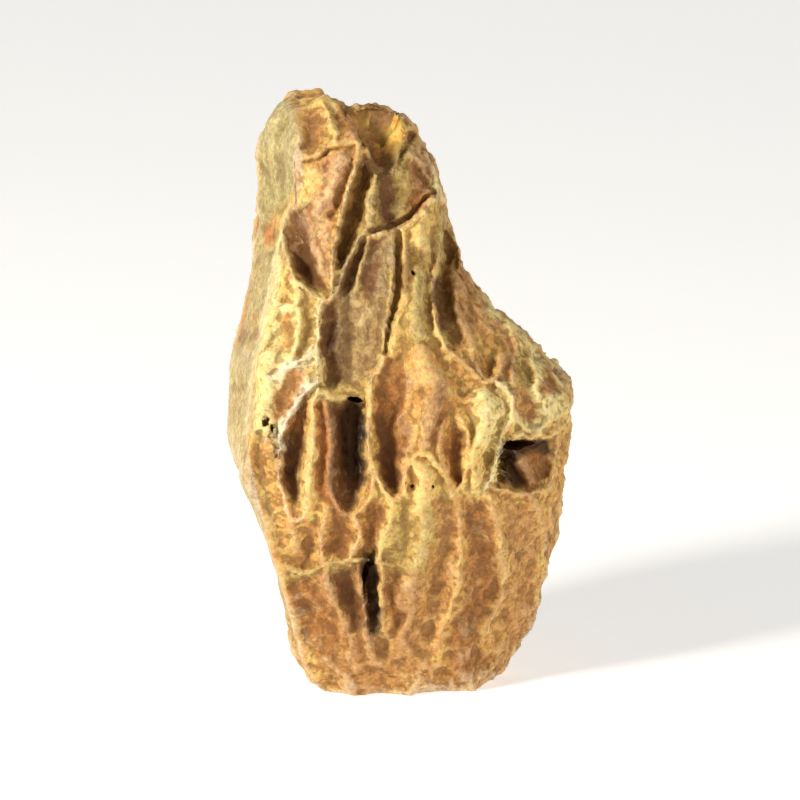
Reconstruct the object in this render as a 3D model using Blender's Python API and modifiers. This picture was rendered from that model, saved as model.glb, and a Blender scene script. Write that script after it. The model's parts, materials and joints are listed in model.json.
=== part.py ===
"""A dragon stone, 0.25 m tall: one upright piece of weathered clay stone, fluted and hollowed.

Metres, +Z up. The stone stands on a small flat spot at z = 0, its main face looks along -Y,
and the origin is the middle of its footprint box. All lengths below are in millimetres and
are turned into metres by MM.
"""

import math
import random
from collections import namedtuple

import bmesh
import bpy
from mathutils import Matrix, Vector
from mathutils.bvhtree import BVHTree

MM = 0.001
SEED = 7

# Rough block, from below the foot up: height, then the left edge, the ridge where the smooth
# left flank meets the front, the right edge, and how far the front and the back stand out.
# What lies under height 0 is sawn off.
Section = namedtuple("Section", "up left ridge right front back")
SECTIONS = [
    Section(-8, -34, -30, 40, 25, 28),
    Section(8, -45, -41, 54, 36, 39),
    Section(24, -48, -44, 59, 40, 43),
    Section(50, -53, -49, 66, 46, 47),
    Section(68, -59, -54, 71, 50, 49),
    Section(82, -65, -59, 75, 53, 50),
    Section(95, -71, -65, 77, 54, 51),
    Section(104, -75, -68, 78, 54, 52),
    Section(126, -74, -67, 81, 53, 52),
    Section(142, -75, -64, 66, 51, 50),
    Section(157, -70, -61, 53, 48, 47),
    Section(171, -65, -59, 44, 44, 43),
    Section(187, -64, -55, 27, 40, 38),
    Section(207, -62, -49, 22, 35, 34),
    Section(224, -62, -47, 15, 31, 30),
    Section(235, -57, -43, 7, 27, 25),
    Section(244, -50, -40, -2, 20, 18),
    Section(251, -44, -36, -22, 8, 9),
]

# Where the other eight points of a section lie: share of the way from the ridge to the right
# edge, and share of the front (negative) or back depth
FACE_POINTS = [(0.24, -1.0), (0.52, -0.98), (0.80, -0.72)]
RIGHT_POINT = -0.06
BACK_POINTS = [(0.88, 0.62), (0.58, 1.0), (0.18, 0.96)]
LEFT_BACK_POINT = (0.05, 0.60)
LEFT_POINT = 0.2
RIDGE_POINT = -0.92

# Corners of the sections that run up the block as firm edges, and how firm they are
CREASED = (0, 1)
CREASE = 0.75

# How each side is looked at when a hollow is placed on it: turn about Z, and tilt downwards
View = namedtuple("View", "turn tilt")
FRONT = View(0.0, 15.0)
RIGHT = View(90.0, 5.0)
BACK = View(180.0, 5.0)
LEFT = View(270.0, 5.0)
TOP = View(0.0, 80.0)

# A hollow: its middle, across and up as seen on its side, its mouth, its depth, its lean to
# the right of upright in degrees, how much its lower end narrows, how steep its rim is, and
# how many degrees it digs towards the left
Hollow = namedtuple("Hollow", "side across up wide tall deep lean narrow rim dig", defaults=(0,))
STEEP = 0.15
CRISP = 0.35
SOFT = 0.65
FRONT_HOLLOWS = [
    # broad troughs that draw the face into columns
    Hollow(FRONT, -18, 140, 36, 160, 8, 6, 0.0, SOFT),
    Hollow(FRONT, 16, 176, 13, 80, 4, -6, 0.0, SOFT),
    Hollow(FRONT, 50, 130, 30, 44, 4, -30, 0.0, SOFT),
    Hollow(FRONT, -20, 226, 9, 46, 7, 4, 0.0, CRISP),
    # top: hollow in the left lobe, the crease under it, the big bowl and the crack beside it
    Hollow(FRONT, -35.5, 227, 14, 24, 6, 0, 0.0, CRISP, 15),
    Hollow(FRONT, -33, 216.5, 4.5, 15, 6, 62, 0.0, STEEP),
    Hollow(FRONT, -8.5, 229, 27, 46, 16, 0, 0.45, CRISP, 10),
    Hollow(FRONT, 1.5, 219, 3.5, 22, 8, 22, 0.0, STEEP),
    Hollow(FRONT, 8, 217, 7, 20, 4, -25, 0.0, CRISP, 20),
    # upper middle: brown hollow over a ledge, and the narrow channels left of it
    Hollow(FRONT, 1, 201, 26, 32, 11, 15, 0.1, CRISP, 20),
    Hollow(FRONT, 0.5, 190, 4, 32, 7, 60, 0.0, STEEP),
    Hollow(FRONT, -19, 198, 9, 52, 13, 10, 0.1, STEEP, 15),
    Hollow(FRONT, -24, 186, 10, 34, 11, 12, 0.1, STEEP, 15),
    Hollow(FRONT, -39.5, 178, 21, 46, 16, -8, 0.3, CRISP, 25),
    Hollow(FRONT, -22, 170, 6, 30, 11, 18, 0.4, STEEP, 10),
    Hollow(FRONT, -9, 174, 17, 30, 8, 12, 0.0, CRISP, 10),
    # middle: the large smooth bowl, the crevice at its right and the hole under its lip
    Hollow(FRONT, -19, 139, 34, 58, 17, 9, -0.15, CRISP, 10),
    Hollow(FRONT, -4.5, 152, 5, 42, 12, 7, 0.0, STEEP, 20),
    Hollow(FRONT, -19, 115, 5, 15, 20, 90, 0.0, STEEP),
    # lower middle: the deep channel, the long flute and the narrow slots beside them
    Hollow(FRONT, -22, 94, 18, 50, 22, 0, 0.0, STEEP, 10),
    Hollow(FRONT, -45, 92, 8.5, 46, 13, 5, 0.2, STEEP, 15),
    Hollow(FRONT, -32.5, 97, 5, 48, 5, 0, 0.0, CRISP),
    Hollow(FRONT, -4, 104, 21, 68, 16, -6, 0.2, CRISP, 25),
    Hollow(FRONT, 22, 93, 13, 28, 10, 0, 0.2, CRISP, 20),
    Hollow(FRONT, 11, 121, 14, 20, 3.5, 0, 0.0, SOFT),
    Hollow(FRONT, 8, 105, 14, 16, 3, 0, 0.0, SOFT),
    Hollow(FRONT, 20, 116, 10, 20, 3, 0, 0.0, SOFT),
    # right: the long flute, the pointed scoop, the rough scoops and the caves
    Hollow(FRONT, 15, 186, 7, 46, 10, -7, -0.2, CRISP, 20),
    Hollow(FRONT, 20, 160, 14, 50, 15, -3, -0.2, CRISP, 20),
    Hollow(FRONT, 36, 135, 17, 28, 12, 0, 0.5, CRISP, 10),
    Hollow(FRONT, 53, 122, 15, 24, 6, 20, 0.0, CRISP, 10),
    Hollow(FRONT, 45, 128, 10, 18, 5, -20, 0.0, CRISP),
    Hollow(FRONT, 61, 126, 10, 24, 5, 10, 0.0, CRISP),
    Hollow(FRONT, 50, 92, 20, 28, 10, 90, 0.0, STEEP),
    Hollow(FRONT, 46, 97, 15, 10, 24, 0, 0.0, STEEP, 25),
    Hollow(FRONT, 59, 98, 12, 7, 16, 0, 0.0, STEEP),
    Hollow(FRONT, 45, 86, 18, 13, 24, 10, 0.0, STEEP, 25),
    # small holes, and the pits of the rough left of the face
    Hollow(FRONT, 4, 174, 4, 3, 8, 0, 0.0, STEEP),
    Hollow(FRONT, -3, 172, 4, 8, 8, 0, 0.0, STEEP),
    Hollow(FRONT, -47, 145, 8, 12, 5, 0, 0.0, CRISP),
    Hollow(FRONT, -54, 105, 5, 8, 10, 0, 0.0, STEEP),
    Hollow(FRONT, -49, 127, 10, 22, 3, 0, 0.0, SOFT),
    Hollow(FRONT, -49, 162, 9, 24, 4, 10, 0.0, SOFT),
    # foot: folds over a rim, and flutes of unlike length that run down under it
    Hollow(FRONT, -39, 58, 9, 30, 6, 12, 0.2, CRISP, 15),
    Hollow(FRONT, -24, 61, 15, 10, 5, -20, 0.0, CRISP),
    Hollow(FRONT, 6, 68, 12, 16, 5, 35, 0.2, CRISP, 15),
    Hollow(FRONT, -29, 22, 20, 54, 8, -9, 0.1, CRISP, 15),
    Hollow(FRONT, -15.5, 34, 8, 52, 20, 5, 0.2, STEEP, 10),
    Hollow(FRONT, -1, 30, 17, 46, 10, 6, -0.1, CRISP, 20),
    Hollow(FRONT, 14, 14, 16, 50, 8, -14, 0.1, CRISP, 10),
    Hollow(FRONT, 31, 44, 18, 58, 9, -14, 0.2, CRISP, 20),
    Hollow(FRONT, 52, 60, 15, 36, 6, 10, 0.2, CRISP, 10),
]

# A lump, placed as a hollow is: its middle, its size and how far it stands out
Lump = namedtuple("Lump", "side across up wide tall out lean")
LUMPS = [
    Lump(FRONT, 33, 106, 27, 46, 10, 0),
    Lump(FRONT, 9, 84, 20, 20, 4, 0),
    Lump(FRONT, 8, 165, 14, 60, 3, -4),
]

# Hollows strewn over the sides that the front does not show: how many, and the least and
# most of their size
Strewn = namedtuple("Strewn", "side left right low high count wide tall deep lean")
STREWN = [
    Strewn(FRONT, -46, 52, 4, 62, 14, (6, 14), (10, 26), (3, 6), (-30, 30)),
    Strewn(BACK, -52, 58, 12, 215, 40, (12, 30), (22, 60), (5, 13), (-20, 20)),
    Strewn(RIGHT, 20, 44, 12, 215, 12, (12, 24), (24, 50), (5, 11), (-15, 15)),
    Strewn(LEFT, -34, -14, 20, 200, 8, (10, 18), (24, 44), (4, 8), (-12, 12)),
    Strewn(TOP, -30, 0, -10, 30, 4, (8, 14), (10, 18), (3, 6), (-40, 40)),
]

# Broken faces: the middle of each, the way it looks, how wide and how high it reaches
Facet = namedtuple("Facet", "point facing wide high")
FACETS = [
    Facet((-49.4, -10, 243), (-0.905, -0.42, 0.06), 100, 94),
    Facet((-70.4, -10, 150), (-0.893, -0.254, 0.373), 110, 100),
    Facet((-69.3, -10, 130), (-0.961, -0.23, 0.156), 120, 110),
]

# Thickness of the slabs that the broken faces are cut with, and how often they are divided
SLAB = 60.0
SLAB_CUTS = 12

# Smooth left flank: the way it looks, how near to it a face must look (as a cosine) and how
# high it must lie to count as flank, and how much of the pattern is kept from it
FLANK_FACING = (-0.90, -0.40, 0.15)
FLANK_NEAR = (0.70, 0.95)
FLANK_UP = (72, 96)
FLANK_KEPT = 0.95

# Front above the foot, which has its own hollows and takes less of the pattern
FRONT_FACING = (0.0, -1.0, 0.0)
FRONT_NEAR = (0.3, 0.8)
FRONT_UP = (45, 75)
FRONT_KEPT = 0.6

# Rounds of smoothing that the flank gets
FLANK_ROUNDS = 10

# Scallops: size of a cell, depth, how far they are drawn out along the stone, and their lean
Scallops = namedtuple("Scallops", "cell deep stretch lean")
BROAD_SCALLOPS = Scallops(19.0, 7.0, 2.2, 6)
SMALL_SCALLOPS = Scallops(7.0, 2.2, 1.5, -8)

# Share of their depth by which scallops lie over the plain surface
SCALLOP_LEVEL = 0.35

# Bends out of true: size of a bend, and how far it goes
Bend = namedtuple("Bend", "size far")
BROAD_BEND = Bend(22.0, 5.0)
SMALL_BEND = Bend(7.0, 2.0)
FACET_BEND = Bend(30.0, 3.0)
HOLLOW_BEND = Bend(11.0, 5.0)

# A hollow is bent by no more than this share of its lesser half size
HOLLOW_BEND_SHARE = 0.45

# How far a lump's egg reaches in, for each millimetre that it stands out
LUMP_REACH = 2.0

# Rounds of smoothing of the block and of the eggs, sizes of the even faces that the block
# and the hollowed stone are laid in, and the faces that the finished stone has
BLOCK_LEVELS = 3
EGG_LEVELS = 3
REMESH = 2.0
FINE_REMESH = 1.2
TRIANGLES = 9300

# Finish
COLOUR = (0.48, 0.35, 0.19, 1.0)
ROUGHNESS = 0.85


def clear_scene():
    """Empty the file of objects."""
    for obj in list(bpy.data.objects):
        bpy.data.objects.remove(obj)


def new_collection(name):
    """Add a collection to the scene."""
    collection = bpy.data.collections.new(name)
    bpy.context.scene.collection.children.link(collection)
    return collection


def stone_material():
    """Ochre clay stone, dry and rough."""
    material = bpy.data.materials.new("weathered_clay_stone")
    material.use_nodes = True
    shader = material.node_tree.nodes["Principled BSDF"]
    shader.inputs["Base Color"].default_value = COLOUR
    shader.inputs["Roughness"].default_value = ROUGHNESS
    shader.inputs["Metallic"].default_value = 0.0
    return material


def section_points(section):
    """The ten corners of a section, counter-clockwise from the left edge, seen from above."""
    width = section.right - section.ridge
    points = [(section.left, LEFT_POINT * section.back), (section.ridge, RIDGE_POINT * section.front)]
    points += [(section.ridge + a * width, d * section.front) for a, d in FACE_POINTS]
    points.append((section.right, RIGHT_POINT * section.front))
    points += [(section.ridge + a * width, d * section.back) for a, d in BACK_POINTS]
    a, d = LEFT_BACK_POINT
    points.append((section.left + a * width, d * section.back))
    return [Vector((x * MM, y * MM, section.up * MM)) for x, y in points]


def rough_block(collection):
    """The stone before it is hollowed: a loft through the sections, closed and smoothed."""
    mesh = bmesh.new()
    rings = [[mesh.verts.new(p) for p in section_points(s)] for s in SECTIONS]
    count = len(rings[0])
    for low, high in zip(rings, rings[1:]):
        for i in range(count):
            j = (i + 1) % count
            mesh.faces.new((low[i], low[j], high[j], high[i]))
    mesh.faces.new(list(reversed(rings[0])))
    mesh.faces.new(rings[-1])
    crease = mesh.edges.layers.float.new("crease_edge")
    for low, high in zip(rings, rings[1:]):
        for i in CREASED:
            mesh.edges.get((low[i], high[i]))[crease] = CREASE
    for i in range(count):
        mesh.edges.get((rings[0][i], rings[0][(i + 1) % count]))[crease] = 1.0
    bmesh.ops.recalc_face_normals(mesh, faces=mesh.faces)
    data = bpy.data.meshes.new("dragon_stone")
    mesh.to_mesh(data)
    mesh.free()
    block = bpy.data.objects.new("dragon_stone", data)
    collection.objects.link(block)
    smooth = block.modifiers.new("smooth", "SUBSURF")
    smooth.levels = BLOCK_LEVELS
    smooth.render_levels = BLOCK_LEVELS
    apply_modifiers(block)
    return block


def apply_modifiers(obj):
    """Put an object's evaluated mesh in the place of its modifiers."""
    graph = bpy.context.evaluated_depsgraph_get()
    graph.update()
    data = bpy.data.meshes.new_from_object(obj.evaluated_get(graph))
    obj.modifiers.clear()
    old = obj.data
    obj.data = data
    bpy.data.meshes.remove(old)


def surface_tree(obj):
    """A search tree of an object's faces."""
    mesh = bmesh.new()
    mesh.from_mesh(obj.data)
    tree = BVHTree.FromBMesh(mesh)
    mesh.free()
    return tree


def side_axes(side):
    """Across, up and inward directions of a side, as it is looked at."""
    turn = Matrix.Rotation(math.radians(side.turn), 3, "Z")
    tilt = Matrix.Rotation(math.radians(-side.tilt), 3, "X")
    return [turn @ tilt @ Vector(axis) for axis in ((1, 0, 0), (0, 0, 1), (0, 1, 0))]


def place_on(tree, side, across, up, lean, dig):
    """Where a line of sight meets the stone, as a matrix: X across, Y inward, Z along the lean."""
    right, top, inward = side_axes(side)
    start = right * across * MM + top * up * MM - inward
    point, normal, _, _ = tree.ray_cast(start, inward)
    if point is None:
        point, normal, _, _ = tree.find_nearest(start + inward)
    inward = (inward - normal).normalized()
    along = top * math.cos(math.radians(lean)) + right * math.sin(math.radians(lean))
    inward = Matrix.Rotation(math.radians(dig), 3, along) @ inward
    along = (along - inward * along.dot(inward)).normalized()
    right = inward.cross(along)
    frame = Matrix((right, inward, along)).transposed().to_4x4()
    frame.translation = point
    return frame


def egg(name, collection, frame, half, narrow):
    """An irregular egg: half sizes across, inward and along, its lower end narrowed."""
    mesh = bmesh.new()
    bmesh.ops.create_icosphere(mesh, subdivisions=EGG_LEVELS, radius=1.0)
    for vert in mesh.verts:
        taper = 1.0 + narrow * min(max(vert.co.z, -1.0), 1.0)
        vert.co.x *= taper
        vert.co = Vector([a * b for a, b in zip(vert.co, half)])
    bmesh.ops.transform(mesh, matrix=frame, verts=mesh.verts)
    data = bpy.data.meshes.new(name)
    mesh.to_mesh(data)
    mesh.free()
    obj = bpy.data.objects.new(name, data)
    obj.hide_render = True
    obj.display_type = "WIRE"
    collection.objects.link(obj)
    far = min(HOLLOW_BEND.far, HOLLOW_BEND_SHARE * min(half[0], half[2]) / MM)
    bend(obj, "hollow_bend", HOLLOW_BEND._replace(far=far), 1)


def hollow_cutter(hollow, tree, collection, name):
    """An egg whose mouth on the surface is as wide and tall as the hollow."""
    frame = place_on(tree, hollow.side, hollow.across, hollow.up, hollow.lean, hollow.dig)
    reach = hollow.deep * MM / (1.0 - hollow.rim)
    mouth = math.sqrt(1.0 - hollow.rim ** 2)
    half = (hollow.wide * MM / 2 / mouth, reach, hollow.tall * MM / 2 / mouth)
    frame = frame @ Matrix.Translation((0, -hollow.rim * reach, 0))
    egg(name, collection, frame, half, hollow.narrow)


def add_lump(lump, tree, collection, name):
    """An egg half sunk in the surface."""
    frame = place_on(tree, lump.side, lump.across, lump.up, lump.lean, 0)
    half = (lump.wide * MM / 2, lump.out * MM * LUMP_REACH, lump.tall * MM / 2)
    frame = frame @ Matrix.Translation((0, lump.out * MM * (LUMP_REACH - 1), 0))
    egg(name, collection, frame, half, 0.0)


def boolean(obj, name, operation, collection):
    """Join or cut with every object of a collection."""
    modifier = obj.modifiers.new(name, "BOOLEAN")
    modifier.operation = operation
    modifier.operand_type = "COLLECTION"
    modifier.collection = collection
    modifier.solver = "EXACT"


def remesh(obj, size):
    """Even out the faces."""
    modifier = obj.modifiers.new("remesh", "REMESH")
    modifier.mode = "VOXEL"
    modifier.voxel_size = size * MM
    modifier.adaptivity = 0.0


def guide(name, scale, turn, collection):
    """An unseen helper that stretches and turns a pattern."""
    empty = bpy.data.objects.new(name, None)
    empty.scale = scale
    empty.rotation_euler = [math.radians(a) for a in turn]
    empty.hide_render = True
    collection.objects.link(empty)
    return empty


def scallops(obj, name, pattern, group, collection):
    """Shallow bowls with crisp rims between them, drawn out along the stone."""
    texture = bpy.data.textures.new(name, "VORONOI")
    texture.distance_metric = "DISTANCE_SQUARED"
    texture.noise_scale = pattern.cell * MM
    lean = (0, pattern.lean, 0)
    modifier = obj.modifiers.new(name, "DISPLACE")
    modifier.texture = texture
    modifier.texture_coords = "OBJECT"
    modifier.texture_coords_object = guide(name + "_guide", (1, 1, pattern.stretch), lean, collection)
    modifier.direction = "NORMAL"
    modifier.mid_level = SCALLOP_LEVEL
    modifier.strength = pattern.deep * MM
    modifier.vertex_group = group


def bend(obj, name, bends, depth=2):
    """Bend every edge out of true with soft clouds, which are made once for each name."""
    texture = bpy.data.textures.get(name) or bpy.data.textures.new(name, "CLOUDS")
    texture.cloud_type = "COLOR"
    texture.noise_scale = bends.size * MM
    texture.noise_depth = depth
    modifier = obj.modifiers.new(name, "DISPLACE")
    modifier.texture = texture
    modifier.texture_coords = "LOCAL"
    modifier.direction = "RGB_TO_XYZ"
    modifier.mid_level = 0.5
    modifier.strength = bends.far * MM


def ramp(value, limits):
    """0 below the first limit, 1 above the second, and even between them."""
    low, high = limits
    return min(max((value - low) / (high - low), 0.0), 1.0)


def mask_worn(obj, tree):
    """Weights for the pattern: less on the front, and next to none on the smooth left flank."""
    group = obj.vertex_groups.get("worn") or obj.vertex_groups.new(name="worn")
    flank_facing = Vector(FLANK_FACING).normalized()
    front_facing = Vector(FRONT_FACING)
    for vert in obj.data.vertices:
        _, normal, _, _ = tree.find_nearest(vert.co)
        up = vert.co.z / MM
        flank = ramp(normal.dot(flank_facing), FLANK_NEAR) * ramp(up, FLANK_UP)
        front = ramp(normal.dot(front_facing), FRONT_NEAR) * ramp(up, FRONT_UP)
        weight = (1.0 - FLANK_KEPT * flank) * (1.0 - FRONT_KEPT * front)
        group.add([vert.index], weight, "REPLACE")
    return group.name


def smooth_flank(obj, group):
    """Even out what the pattern has been kept from most."""
    modifier = obj.modifiers.new("smooth flank", "SMOOTH")
    modifier.factor = 0.5
    modifier.iterations = FLANK_ROUNDS
    modifier.vertex_group = group
    modifier.invert_vertex_group = True


def facet_cutter(facet, collection, name):
    """A slab whose under side is the broken face."""
    mesh = bmesh.new()
    bmesh.ops.create_cube(mesh, size=1.0)
    bmesh.ops.translate(mesh, vec=(0, 0, 0.5), verts=mesh.verts)
    bmesh.ops.scale(mesh, vec=(facet.wide * MM, facet.high * MM, SLAB * MM), verts=mesh.verts)
    bmesh.ops.subdivide_edges(mesh, edges=mesh.edges, cuts=SLAB_CUTS, use_grid_fill=True)
    facing = Vector(facet.facing).normalized()
    level = Vector((0, 0, 1)).cross(facing).normalized()
    turn = Matrix((level, facing.cross(level), facing)).transposed().to_4x4()
    place = Matrix.Translation(Vector(facet.point) * MM) @ turn
    bmesh.ops.transform(mesh, matrix=place, verts=mesh.verts)
    data = bpy.data.meshes.new(name)
    mesh.to_mesh(data)
    mesh.free()
    obj = bpy.data.objects.new(name, data)
    obj.hide_render = True
    obj.display_type = "WIRE"
    collection.objects.link(obj)
    bend(obj, "facet_bend", FACET_BEND)


def strewn_hollows(strewn, draw):
    """Hollows at drawn places and sizes on one side."""
    for _ in range(strewn.count):
        wide = draw.uniform(*strewn.wide)
        share = (wide - strewn.wide[0]) / (strewn.wide[1] - strewn.wide[0])
        tall = strewn.tall[0] + (0.4 * draw.random() + 0.6 * share) * (strewn.tall[1] - strewn.tall[0])
        deep = strewn.deep[0] + (0.4 * draw.random() + 0.6 * share) * (strewn.deep[1] - strewn.deep[0])
        across = draw.uniform(strewn.left, strewn.right)
        up = draw.uniform(strewn.low, strewn.high)
        lean = draw.uniform(*strewn.lean)
        yield Hollow(strewn.side, across, up, wide, tall, deep, lean, draw.uniform(-0.2, 0.4), CRISP)


def islands(mesh):
    """Groups of corners that hang together."""
    left = set(mesh.verts)
    while left:
        group = set()
        edge = [left.pop()]
        while edge:
            vert = edge.pop()
            group.add(vert)
            near = [link.other_vert(vert) for link in vert.link_edges]
            edge += [other for other in near if other in left]
            left.difference_update(near)
        yield group


def drop_crumbs(mesh):
    """Keep the largest body alone."""
    groups = sorted(islands(mesh), key=len)
    crumbs = [vert for group in groups[:-1] for vert in group]
    bmesh.ops.delete(mesh, geom=crumbs, context="VERTS")


def stand_flat(obj):
    """Saw the foot off level."""
    mesh = bmesh.new()
    mesh.from_mesh(obj.data)
    cut = bmesh.ops.bisect_plane(
        mesh,
        geom=mesh.verts[:] + mesh.edges[:] + mesh.faces[:],
        dist=1e-7,
        plane_co=(0, 0, 0),
        plane_no=(0, 0, 1),
        clear_inner=True,
    )
    rim = [item for item in cut["geom_cut"] if isinstance(item, bmesh.types.BMEdge)]
    bmesh.ops.holes_fill(mesh, edges=rim, sides=0)
    drop_crumbs(mesh)
    bmesh.ops.triangulate(mesh, faces=mesh.faces)
    mesh.to_mesh(obj.data)
    mesh.free()


def centre(obj):
    """Put the middle of the stone's footprint box over the origin."""
    corners = [Vector(corner) for corner in obj.bound_box]
    middle = (min(c.x for c in corners) + max(c.x for c in corners)) / 2
    depth = (min(c.y for c in corners) + max(c.y for c in corners)) / 2
    obj.data.transform(Matrix.Translation((-middle, -depth, 0)))


def thin_out(obj):
    """Bring the faces down to the wanted number."""
    modifier = obj.modifiers.new("thin out", "DECIMATE")
    modifier.ratio = TRIANGLES / sum(len(face.vertices) - 2 for face in obj.data.polygons)
    apply_modifiers(obj)


def main():
    """Build the stone."""
    clear_scene()
    parts = new_collection("dragon_stone")
    lumps = new_collection("lumps")
    cutters = new_collection("hollows")
    faces = new_collection("broken_faces")
    guides = new_collection("guides")
    draw = random.Random(SEED)
    stone = rough_block(parts)
    tree = surface_tree(stone)
    for i, lump in enumerate(LUMPS):
        add_lump(lump, tree, lumps, f"lump_{i}")
    boolean(stone, "add lumps", "UNION", lumps)
    remesh(stone, REMESH)
    apply_modifiers(stone)
    scallops(stone, "broad_scallops", BROAD_SCALLOPS, mask_worn(stone, tree), guides)
    bend(stone, "broad_bend", BROAD_BEND)
    apply_modifiers(stone)
    hollows = list(FRONT_HOLLOWS)
    for strewn in STREWN:
        hollows += strewn_hollows(strewn, draw)
    for i, hollow in enumerate(hollows):
        hollow_cutter(hollow, tree, cutters, f"hollow_{i}")
    for i, facet in enumerate(FACETS):
        facet_cutter(facet, faces, f"facet_{i}")
    boolean(stone, "break faces", "DIFFERENCE", faces)
    boolean(stone, "cut hollows", "DIFFERENCE", cutters)
    remesh(stone, FINE_REMESH)
    apply_modifiers(stone)
    worn = mask_worn(stone, tree)
    scallops(stone, "small_scallops", SMALL_SCALLOPS, worn, guides)
    bend(stone, "small_bend", SMALL_BEND)
    smooth_flank(stone, worn)
    apply_modifiers(stone)
    thin_out(stone)
    stand_flat(stone)
    centre(stone)
    stone.data.materials.clear()
    stone.data.materials.append(stone_material())


if __name__ == "__main__":
    main()
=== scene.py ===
"""The looks of a dragon stone: the weathered surface and colours of its one solid piece.

The stone is modelled again from the sizes of its solid, with a finer surface: a rough block is
drawn up outline by outline, broken faces and hollows are cut away, the main face and the back
are pressed to the lines of a drawing, and scallops, bends and grain are laid over the whole.
The same lines carry the tints of the main face and the back, with painted shade laid in the
caves, the deep channel and a gap at the foot. Elsewhere the colours follow the shape: hollows are
brown, partly stain and partly painted shade, crests are pale, partly wear and partly painted
highlight, cracks and the deepest hollows are painted nearly black as shade, and the smooth left
flank is an olive grey.

Sizes are in millimetres until MM turns them into metres. +Z is up, and the main face looks
along -Y.
"""

import json
import logging
import math
import random
from collections.abc import Iterator
from dataclasses import dataclass, field, replace
from enum import Enum

import bmesh
import bpy
import numpy as np
from mathutils import Matrix, Vector, noise
from mathutils.bvhtree import BVHTree
from mathutils.kdtree import KDTree

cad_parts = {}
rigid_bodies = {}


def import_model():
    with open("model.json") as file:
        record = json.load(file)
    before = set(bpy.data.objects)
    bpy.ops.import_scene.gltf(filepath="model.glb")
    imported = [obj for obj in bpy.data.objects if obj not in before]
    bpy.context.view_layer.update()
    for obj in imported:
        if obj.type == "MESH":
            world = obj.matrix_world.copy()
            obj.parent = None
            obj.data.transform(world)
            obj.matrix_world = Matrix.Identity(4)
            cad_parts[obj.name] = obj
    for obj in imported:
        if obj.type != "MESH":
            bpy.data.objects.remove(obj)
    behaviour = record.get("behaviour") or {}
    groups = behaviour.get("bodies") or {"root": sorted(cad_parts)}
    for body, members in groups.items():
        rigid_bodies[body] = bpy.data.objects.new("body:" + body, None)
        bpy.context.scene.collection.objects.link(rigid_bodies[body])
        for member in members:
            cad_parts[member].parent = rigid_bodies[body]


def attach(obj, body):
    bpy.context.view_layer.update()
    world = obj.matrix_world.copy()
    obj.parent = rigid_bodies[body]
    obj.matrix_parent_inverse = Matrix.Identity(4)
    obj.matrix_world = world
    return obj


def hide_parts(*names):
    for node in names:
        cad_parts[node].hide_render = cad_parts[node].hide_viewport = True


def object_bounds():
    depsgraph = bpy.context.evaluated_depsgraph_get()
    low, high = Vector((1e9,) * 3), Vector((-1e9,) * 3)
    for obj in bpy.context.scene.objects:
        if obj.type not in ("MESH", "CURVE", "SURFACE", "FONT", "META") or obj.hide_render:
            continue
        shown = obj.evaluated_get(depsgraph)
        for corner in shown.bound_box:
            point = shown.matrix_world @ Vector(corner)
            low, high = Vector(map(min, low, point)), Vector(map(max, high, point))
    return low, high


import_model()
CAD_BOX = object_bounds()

MM = 0.001
TOUCH = MM / 10
LEAST_GAP = 0.01
SEED = 7
NODE = "dragon_stone"
LOG = logging.getLogger("dragon_stone")

Colour = tuple[float, float, float, float]
Range = tuple[float, float]
Point = tuple[float, float]
Shape = bpy.types.Object
Socket = bpy.types.NodeSocket
Tree = bpy.types.NodeTree

# The corners of an outline from its ridge to its right edge and back again: how far along they
# lie, and what share of its reach to the front or the back they take. Then those at the left.
FRONT_CORNERS = ((0.0, -0.92), (0.24, -1.0), (0.52, -0.98), (0.80, -0.72), (1.0, -0.06))
BACK_CORNERS = ((0.88, 0.62), (0.58, 1.0), (0.18, 0.96))
LEFT_CORNER = 0.2
LEFT_BACK_CORNER = (0.05, 0.60)

# The tints: their full value, and the curve that brings them to the shader's own count.
FULL = 255.0
GAMMA = 2.2


class Rim(Enum):
    """How the wall of a hollow meets the surface: the share of its reach that lies outside."""

    STEEP = 0.15
    CRISP = 0.35


class Side(Enum):
    """Ways of looking at the stone: a turn about Z and a downward tilt, in degrees."""

    FRONT = (0.0, 15.0)
    RIGHT = (90.0, 5.0)
    BACK = (180.0, 5.0)
    LEFT = (270.0, 5.0)
    TOP = (0.0, 80.0)

    def axes(self) -> list[Vector]:
        """Across, up and inward directions, as the side is looked at."""
        turn = Matrix.Rotation(math.radians(self.value[0]), 3, "Z")
        tilt = Matrix.Rotation(math.radians(-self.value[1]), 3, "X")
        return [turn @ tilt @ Vector(axis) for axis in ((1, 0, 0), (0, 0, 1), (0, 1, 0))]


class Run(Enum):
    """How the surface runs at a line of the drawing."""

    RIDGE = "sharp crest"
    ROUND = "rounded crest"
    VALLEY = "rounded floor"
    CRACK = "narrow crack"
    STAIN = "colour alone"


class Tint(Enum):
    """The colours of the drawing, each from 0 to 255 in red, green and blue."""

    WHITE = (250, 238, 206)
    SAGE = (180, 165, 112)
    CREAM = (246, 222, 152)
    STRAW = (236, 200, 118)
    OCHRE = (218, 172, 98)
    GOLD = (240, 196, 98)
    OLIVE = (200, 170, 98)
    ROSE = (212, 168, 118)
    TAN = (196, 146, 86)
    GREY = (178, 148, 100)
    RUST = (196, 128, 66)
    MOSS = (162, 124, 64)
    BROWN = (174, 120, 66)
    PLUM = (126, 88, 58)
    UMBER = (124, 84, 48)
    # painted shade: laid in the caves, the deep channel and the gap at the foot, where only shade
    # falls
    DARK = (46, 32, 20)

    def linear(self) -> list[float]:
        """The colour as the shader counts it."""
        return [(value / FULL) ** GAMMA for value in self.value]


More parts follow.
